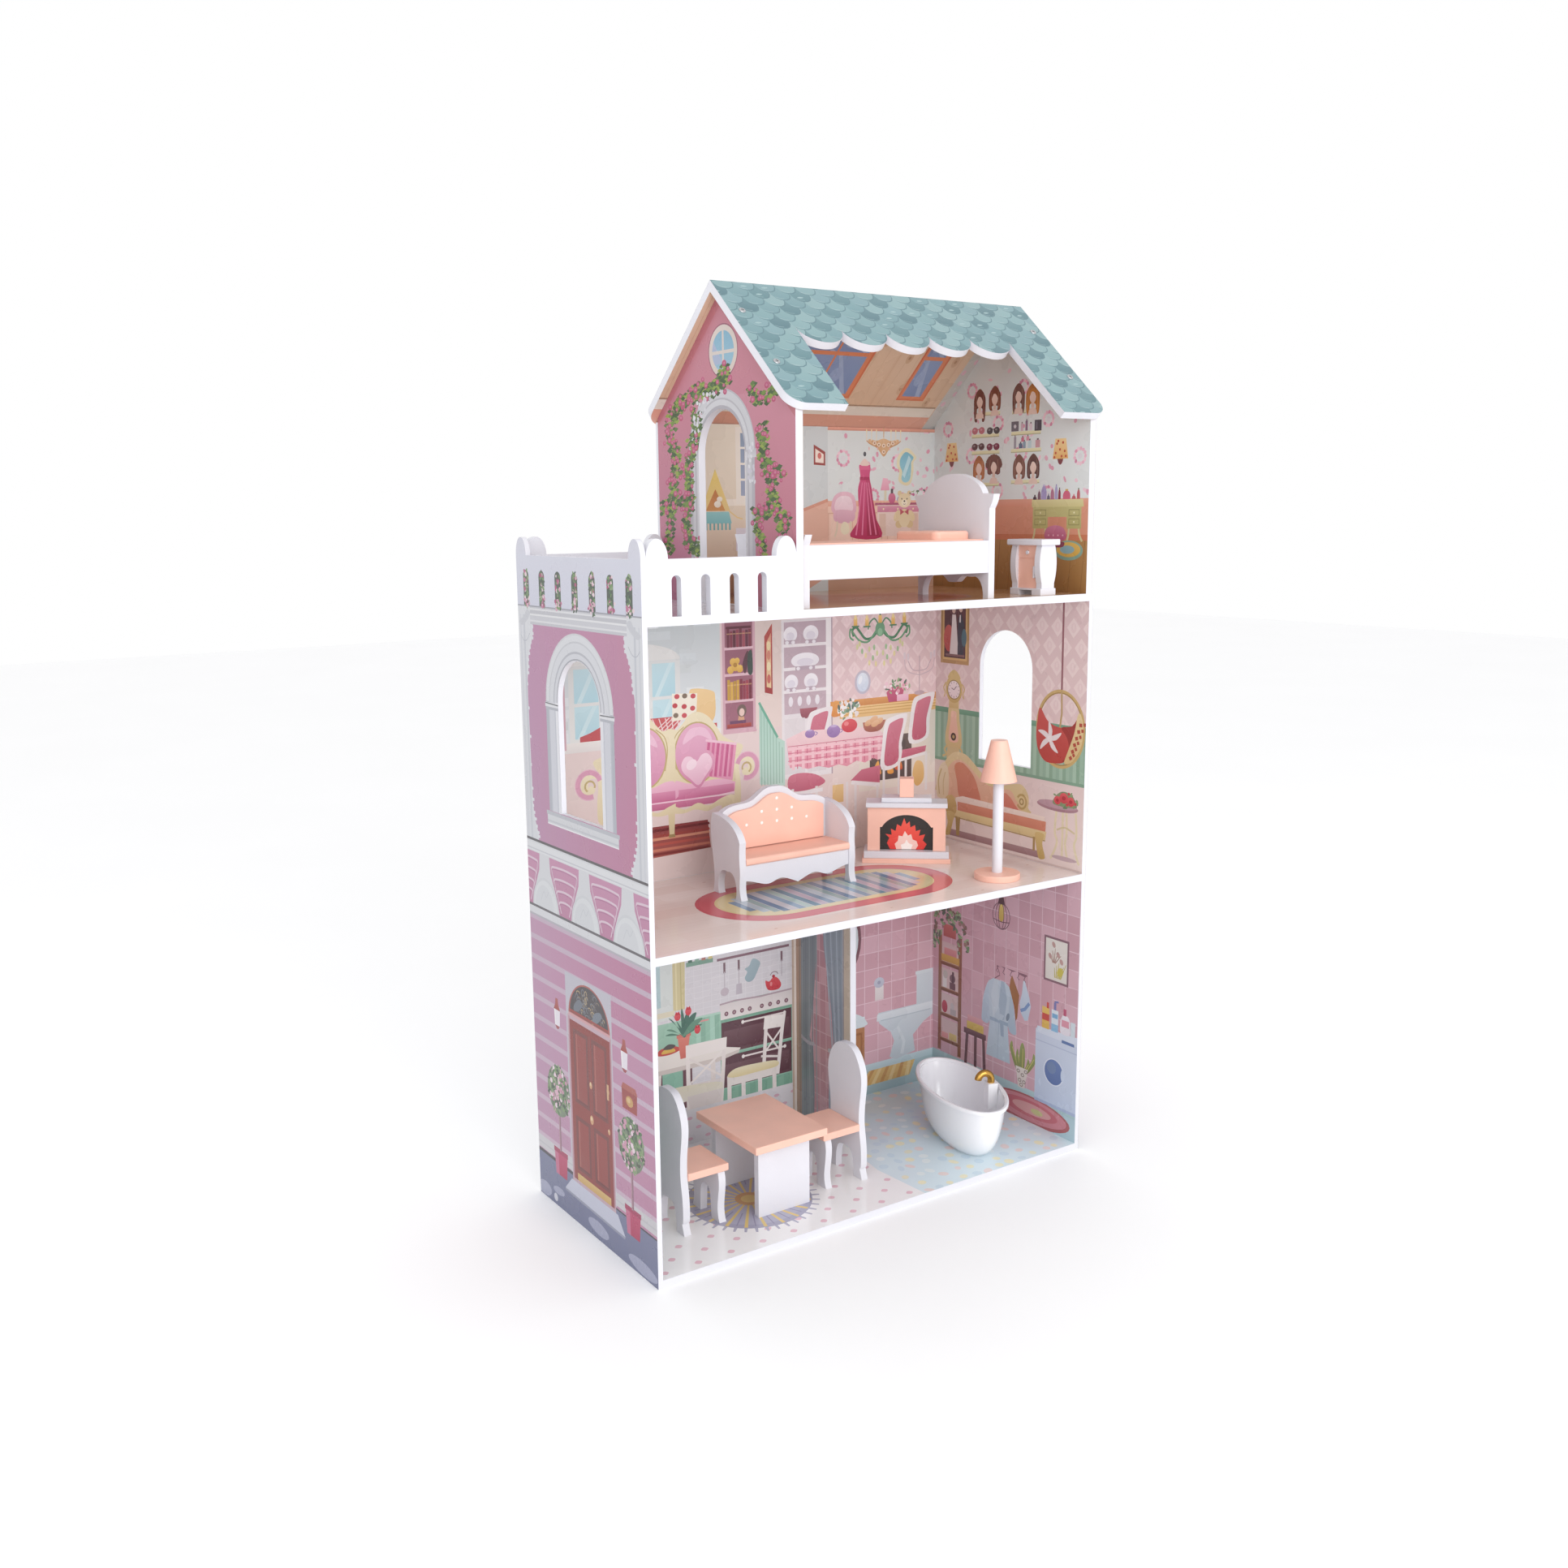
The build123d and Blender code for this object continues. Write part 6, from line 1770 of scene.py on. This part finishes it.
# name: art, node, way the face looks, art's x, art's y, origin, look, body, slot
FILMS = {
    "left_wall_print": (long_wall_out, "left_wall", LEFT, FRONT, Z, BASE, "print_outside_painted_shade"),
    "back_wall_print": (lower_back, "lower_back_panel", FRONT, X, Z),
    "ground_floor_print": (ground_floor, "ground_floor", Z, X, Y, BASE, "print_floor_painted_light"),
    "bath_side_print": (right_inside, "right_wall", LEFT, FRONT, Z),
    "divider_print": (curtains, "room_divider", LEFT, FRONT, Z),
    "divider_bath_print": (curtains_back, "room_divider", X, Y, Z),
    "fire_print": (flames, "fireplace_lining", (-FIRE_SIN, -FIRE_COS, 0), (FIRE_COS, -FIRE_SIN, 0), Z,
                   HEARTH, "print", "fireplace"),
    "sofa_buttons": (buttons, "sofa_back_pad", FRONT, X, Z, SOFA_MIDDLE, "print", "sofa", "white_paint"),
    "living_floor_print": (lounge_floor, "middle_floor", Z, X, Y, BASE, "print_floor_painted_light"),
    "dressing_wall_print": (dressing_wall, "upper_back_panel", FRONT, X, Z),
    "dressing_side_print": (dressing_side, "upper_right_wall", LEFT, FRONT, Z),
    "deck_print": (dressing_floor, "upper_deck", Z, X, Y, BASE, "print_floor_painted_light"),
    "gable_print": (gable_wall, "upper_left_wall", LEFT, FRONT, Z, BASE, "print_outside_painted_shade"),
    "front_roof_print": (front_shingles, "front_roof", (0, -ROOF_SIN, ROOF_COS), X, (0, ROOF_COS, ROOF_SIN),
                         RIDGE, "print_roof_painted_shade"),
    "back_roof_print": (back_shingles, "back_roof", (0, ROOF_SIN, ROOF_COS), LEFT, (0, -ROOF_COS, ROOF_SIN),
                        RIDGE, "print_roof_painted_shade"),
    "attic_print": (attic, "back_roof", (0, -ROOF_SIN, -ROOF_COS), X, (0, ROOF_COS, -ROOF_SIN), RIDGE),
    "attic_front_print": (attic_front, "front_roof", (0, ROOF_SIN, -ROOF_COS), X, (0, -ROOF_COS, -ROOF_SIN),
                          RIDGE),
    "left_wall_inner_print": (long_wall_in, "left_wall", X, Y, Z),
    "gable_inner_print": (gable_wall_in, "upper_left_wall", X, Y, Z),
    "right_wall_outer_print": (garden_wall, "right_wall", X, Y, Z, BASE, "print_outside_painted_shade"),
    "far_gable_print": (gable_far, "upper_right_wall", X, Y, Z, BASE, "print_outside_painted_shade"),
}


# ---------------------------------------------------------------- materials
NOISE_LOW, NOISE_HIGH = 0.3, 0.7  # most of a noise texture's values
COAT_ROUGHNESS = 0.08
SKIN_DEPTH = 0.0004  # height of the paint's and the laminate's fine skin, metres


def linear(code):
    """Linear RGBA of a hex sRGB colour, by the sRGB curve."""
    out = []
    for i in (0, 2, 4):
        c = int(code[i:i + 2], 16) / 255
        out.append(c / 12.92 if c <= 0.04045 else ((c + 0.055) / 1.055) ** 2.4)
    return (*out, 1.0)


def noise(nodes, scale, detail, stretch=None):
    """Noise texture in object space, in cycles per metre."""
    tex = nodes.new("ShaderNodeTexNoise")
    tex.inputs["Scale"].default_value = scale
    tex.inputs["Detail"].default_value = detail
    place = nodes.new("ShaderNodeTexCoord")
    link = nodes.id_data.links.new
    if stretch:
        bend = nodes.new("ShaderNodeMapping")
        bend.inputs["Scale"].default_value = stretch
        link(place.outputs["Object"], bend.inputs["Vector"])
        link(bend.outputs["Vector"], tex.inputs["Vector"])
    else:
        link(place.outputs["Object"], tex.inputs["Vector"])
    return tex


def spread(nodes, source, low, high):
    """A 0-1 value mapped to a range."""
    node = nodes.new("ShaderNodeMapRange")
    node.inputs["From Min"].default_value = NOISE_LOW
    node.inputs["From Max"].default_value = NOISE_HIGH
    node.inputs["To Min"].default_value = low
    node.inputs["To Max"].default_value = high
    nodes.id_data.links.new(source, node.inputs["Value"])
    return node.outputs["Result"]


def finish(name, colour, rough=(0.3, 0.4), grain=900, bump=0.03, tint=0.03, patch=9.0,
           metal=0.0, coat=0.0, stretch=None, printed=False, spec=0.5, painted_shade_level=1.0, lift=1.0):
    """Painted or printed surface: slow tone drift, gloss patches and a fine skin; a level below 1 darkens the
    whole colour as painted shade, and a lift below 1 lightens a print as painted light.
    """
    mat = bpy.data.materials.new(name)
    mat.use_nodes = True
    nodes, link = mat.node_tree.nodes, mat.node_tree.links.new
    shader = nodes["Principled BSDF"]
    shader.inputs["Metallic"].default_value = metal
    shader.inputs["Coat Weight"].default_value = coat
    shader.inputs["Coat Roughness"].default_value = COAT_ROUGHNESS
    shader.inputs["Specular IOR Level"].default_value = spec
    drift = noise(nodes, patch, 4.0, stretch=stretch)
    fine = noise(nodes, grain, 2.0, stretch=stretch)
    # the tone drifts at random, and a level below 1 scales it down as painted shade
    tone = spread(nodes, drift.outputs["Fac"], painted_shade_level * (1 - tint), painted_shade_level)
    mix = nodes.new("ShaderNodeMix")
    mix.data_type = "RGBA"
    mix.blend_type = "MULTIPLY"
    mix.inputs[0].default_value = 1.0
    if printed:
        paint = nodes.new("ShaderNodeVertexColor")
        paint.layer_name = "Print"
        # gamma lift: a value below 1 lightens the print as painted light
        painted_light_gamma = nodes.new("ShaderNodeGamma")
        painted_light_gamma.inputs["Gamma"].default_value = lift
        link(paint.outputs["Color"], painted_light_gamma.inputs["Color"])
        link(painted_light_gamma.outputs["Color"], mix.inputs[6])
    else:
        mix.inputs[6].default_value = linear(colour)
    link(tone, mix.inputs[7])
    link(mix.outputs[2], shader.inputs["Base Color"])
    link(spread(nodes, drift.outputs["Fac"], *rough), shader.inputs["Roughness"])
    skin = nodes.new("ShaderNodeBump")
    skin.inputs["Strength"].default_value = bump
    skin.inputs["Distance"].default_value = SKIN_DEPTH
    link(fine.outputs["Fac"], skin.inputs["Height"])
    link(skin.outputs["Normal"], shader.inputs["Normal"])
    return mat


FINISHES = {
    "white_board": finish("white_board", "DFDFE6", (0.3, 0.42), 700, 0.25, 0.035, 14),
    "white_paint": finish("white_paint", "DFDEE5", (0.28, 0.4), 600, 0.3, 0.03, 25),
    "peach_paint": finish("peach_paint", "FAC5B2", (0.32, 0.45), 600, 0.3, 0.07, 30),
    "raw_wood": finish("raw_wood", "C9A272", (0.6, 0.75), 500, 0.5, 0.25, 60, stretch=(1, 1, 0.1)),
    "zinc_steel": finish("zinc_steel", "C4C5C8", (0.25, 0.4), 2500, 0.2, 0.1, 300, metal=1.0),
    "white_plastic": finish("white_plastic", "F5F5F9", (0.06, 0.12), 300, 0.02, 0.02, 20, coat=0.6),
    "gold_plastic": finish("gold_plastic", "CFA04F", (0.12, 0.2), 800, 0.1, 0.15, 120, metal=0.85),
    "printed_paper": finish("printed_paper", "15110F", (0.4, 0.5), 900, 0.2, 0.2, 60),
    # The same print in four copies: the indoor prints are lightened by their lift as painted light, the
    # floors most, and the outside and roof prints are darkened by their level as painted shade, the roof
    # most.
    "print": finish("laminated_print", None, (0.22, 0.34), 420, 0.12, 0.03, 18, printed=True, lift=0.8),
    "print_outside_painted_shade": finish("outside_print", None, (0.24, 0.36), 420, 0.12, 0.03, 18, printed=True,
                            painted_shade_level=0.74),
    "print_roof_painted_shade": finish("roof_print", None, (0.26, 0.38), 420, 0.2, 0.05, 24, printed=True, painted_shade_level=0.62),
    "print_floor_painted_light": finish("floor_print", None, (0.1, 0.17), 420, 0.05, 0.03, 18, printed=True, lift=0.6),
}


# ---------------------------------------------------------------- films
GAP = 0.12 * MM  # a film's distance from its face
SAME_WAY = 0.9995  # least cosine between a face and its print's direction
SAME_PLANE = 0.0001
MERGE = 1e-4


def face_triangles(node, facing):
    """Corner lists of a node's outermost flat face on one side."""
    mesh = frame["nodes"][node].data
    facing = Vector(facing)
    mesh.calc_loop_triangles()
    flat = [t for t in mesh.loop_triangles if t.normal.dot(facing) > SAME_WAY]
    reach = [mesh.vertices[t.vertices[0]].co.dot(facing) for t in flat]
    top = max(reach)
    return [[mesh.vertices[i].co.copy() for i in t.vertices] for t, r in zip(flat, reach) if top
            - r < SAME_PLANE], top


def tone_at(shape, y):
    """Colour of a shape at a height."""
    points, colour, shade = shape
    if shade is None:
        return linear(colour)
    low = min(q[1] for q in points)
    high = max(q[1] for q in points)
    t = (y - low) / max(high - low, 1e-6)
    return tuple(a + (b - a) * t for a, b in zip(linear(colour), linear(shade)))


def covers(points, x, y):
    """Which of many places lie inside an outline."""
    inside = np.zeros(len(x), bool)
    for (x0, y0), (x1, y1) in zip(points, points[1:] + points[:1]):
        if y0 != y1:
            inside ^= ((y0 > y) != (y1 > y)) & (x < x0 + (y - y0) * (x1 - x0) / (y1 - y0))
    return inside


def add_object(name, data):
    """An object of some data, in the scene."""
    obj = bpy.data.objects.new(name, data)
    bpy.context.scene.collection.objects.link(obj)
    return obj


def film(name, art, node, facing, across, up, origin=BASE, look="print", body="house", slot="printed_paper"):
    """Print lying on a node's flat face, cut to that face's outline and openings."""
    facing, across, up, origin = Vector(facing), Vector(across), Vector(up), Vector(origin)
    sheet = Print()
    art(sheet)
    patches, top = face_triangles(node, facing)
    patches = [[((p - origin).dot(across) / MM, (p - origin).dot(up) / MM) for p in patch]
               for patch in patches]
    verts, edges = [], []
    for outline in patches + [shape[0] for shape in sheet.shapes]:
        first = len(verts)
        verts += [Vector(q) for q in outline]
        edges += [(k, k + 1) for k in range(first, len(verts) - 1)] + [(len(verts) - 1, first)]
    flat, _, tris, *_ = delaunay_2d_cdt(verts, edges, [], 0, MERGE)
    spots = np.array([tuple(v) for v in flat])
    x, y = spots[np.array(tris)].mean(axis=1).T
    on_face = np.zeros(len(tris), bool)
    for patch in patches:
        on_face |= covers(patch, x, y)
    owner = np.full(len(tris), -1)
    for k, (outline, _, _) in enumerate(sheet.shapes):
        low, high = np.min(outline, axis=0), np.max(outline, axis=0)
        near = np.flatnonzero(on_face & (x > low[0]) & (x < high[0]) & (y > low[1]) & (y < high[1]))
        owner[near[covers(outline, x[near], y[near])]] = k
    turned = across.cross(up).dot(facing) < 0
    kept, tones = [], []
    for tri, k in zip(tris, owner):
        if k >= 0:
            kept.append(tri[::-1] if turned else tri)
            tones += [tone_at(sheet.shapes[k], flat[i].y) for i in kept[-1]]
    used = sorted({i for tri in kept for i in tri})
    index = {old: new for new, old in enumerate(used)}
    lift = top + GAP - origin.dot(facing)
    places = [origin + across * flat[i].x * MM + up * flat[i].y * MM + facing * lift for i in used]
    mesh = bpy.data.meshes.new(name)
    mesh.from_pydata(places, [], [[index[i] for i in tri] for tri in kept])
    layer = mesh.color_attributes.new("Print", "BYTE_COLOR", "CORNER")
    layer.data.foreach_set("color", [c for tone in tones for c in tone])
    mesh.materials.append(FINISHES[look])
    obj = add_object(name, mesh)
    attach(obj, body)


for key, (art, *place) in FILMS.items():
    film(key, art, *place)

slots = {part["node"]: part["material_slot"] for part in frame["record"]["subparts"]}
for name, obj in frame["nodes"].items():
    obj.data.materials.clear()
    obj.data.materials.append(FINISHES[slots[name]])


# ---------------------------------------------------------------- camera and light
CAMERA_PLACE = (-1.0250, -1.4235, 0.8112)
YAW, PITCH, ROLL = radians(33.42), radians(10.17), radians(0.69)
LENS, SENSOR = 34.29, 36
SHIFT = (0.0186, -0.0031)
FAR_CLIP = 50
FLOOR_REACH = 8
LAMPS = (  # name, place, aim, size, power
    ("front", (-0.8, -4.4, 0.75), (0.05, 0, 0.5), (3.4, 2.6), 50),
    ("high", (-0.6, -3.6, 2.3), (0, 0, 0.4), (2.4, 1.6), 30),
    ("side", (-2.4, -2.0, 1.3), (0.2, 0, 0.6), (1.4, 1.4), 5),
)


def set_camera():
    """Camera at the front left, a little above the terrace's railing."""
    forward = Vector((sin(YAW) * cos(PITCH), cos(YAW) * cos(PITCH), -sin(PITCH)))
    right = Vector((cos(YAW), -sin(YAW), 0))
    down = forward.cross(right)
    side = right * cos(ROLL) + down * sin(ROLL)
    drop = down * cos(ROLL) - right * sin(ROLL)
    data = bpy.data.cameras.new("camera")
    camera = add_object("camera", data)
    turn = Matrix((side, -drop, -forward)).transposed()
    camera.matrix_world = Matrix.Translation(CAMERA_PLACE) @ turn.to_4x4()
    data.lens, data.sensor_width = LENS, SENSOR
    data.shift_x, data.shift_y = SHIFT
    data.clip_end = FAR_CLIP
    bpy.context.scene.camera = camera


def lamp(name, place, aim, size, power):
    """Soft rectangular lamp."""
    data = bpy.data.lights.new(name, "AREA")
    data.shape = "RECTANGLE"
    data.size, data.size_y = size
    data.energy = power
    obj = add_object(name, data)
    obj.location = place
    obj.rotation_euler = (Vector(aim) - Vector(place)).to_track_quat("-Z", "Y").to_euler()


def studio():
    """Pale floor, white surroundings and three soft lamps."""
    r = FLOOR_REACH
    mesh = bpy.data.meshes.new("floor")
    mesh.from_pydata([(-r, -r, 0), (r, -r, 0), (r, r, 0), (-r, r, 0)], [], [(0, 1, 2, 3)])
    mesh.materials.append(finish("studio_floor", "FCFCFD", (0.6, 0.7), 300, 0.02, 0.01, 2))
    add_object("floor", mesh)
    world = bpy.data.worlds.new("studio")
    bpy.context.scene.world = world
    world.use_nodes = True
    background = world.node_tree.nodes["Background"]
    background.inputs["Color"].default_value = (1, 1, 1, 1)
    background.inputs["Strength"].default_value = 1.0
    for row in LAMPS:
        lamp(*row)


set_camera()
studio()
bpy.context.scene.view_settings.view_transform = "Standard"
bpy.context.view_layer.update()
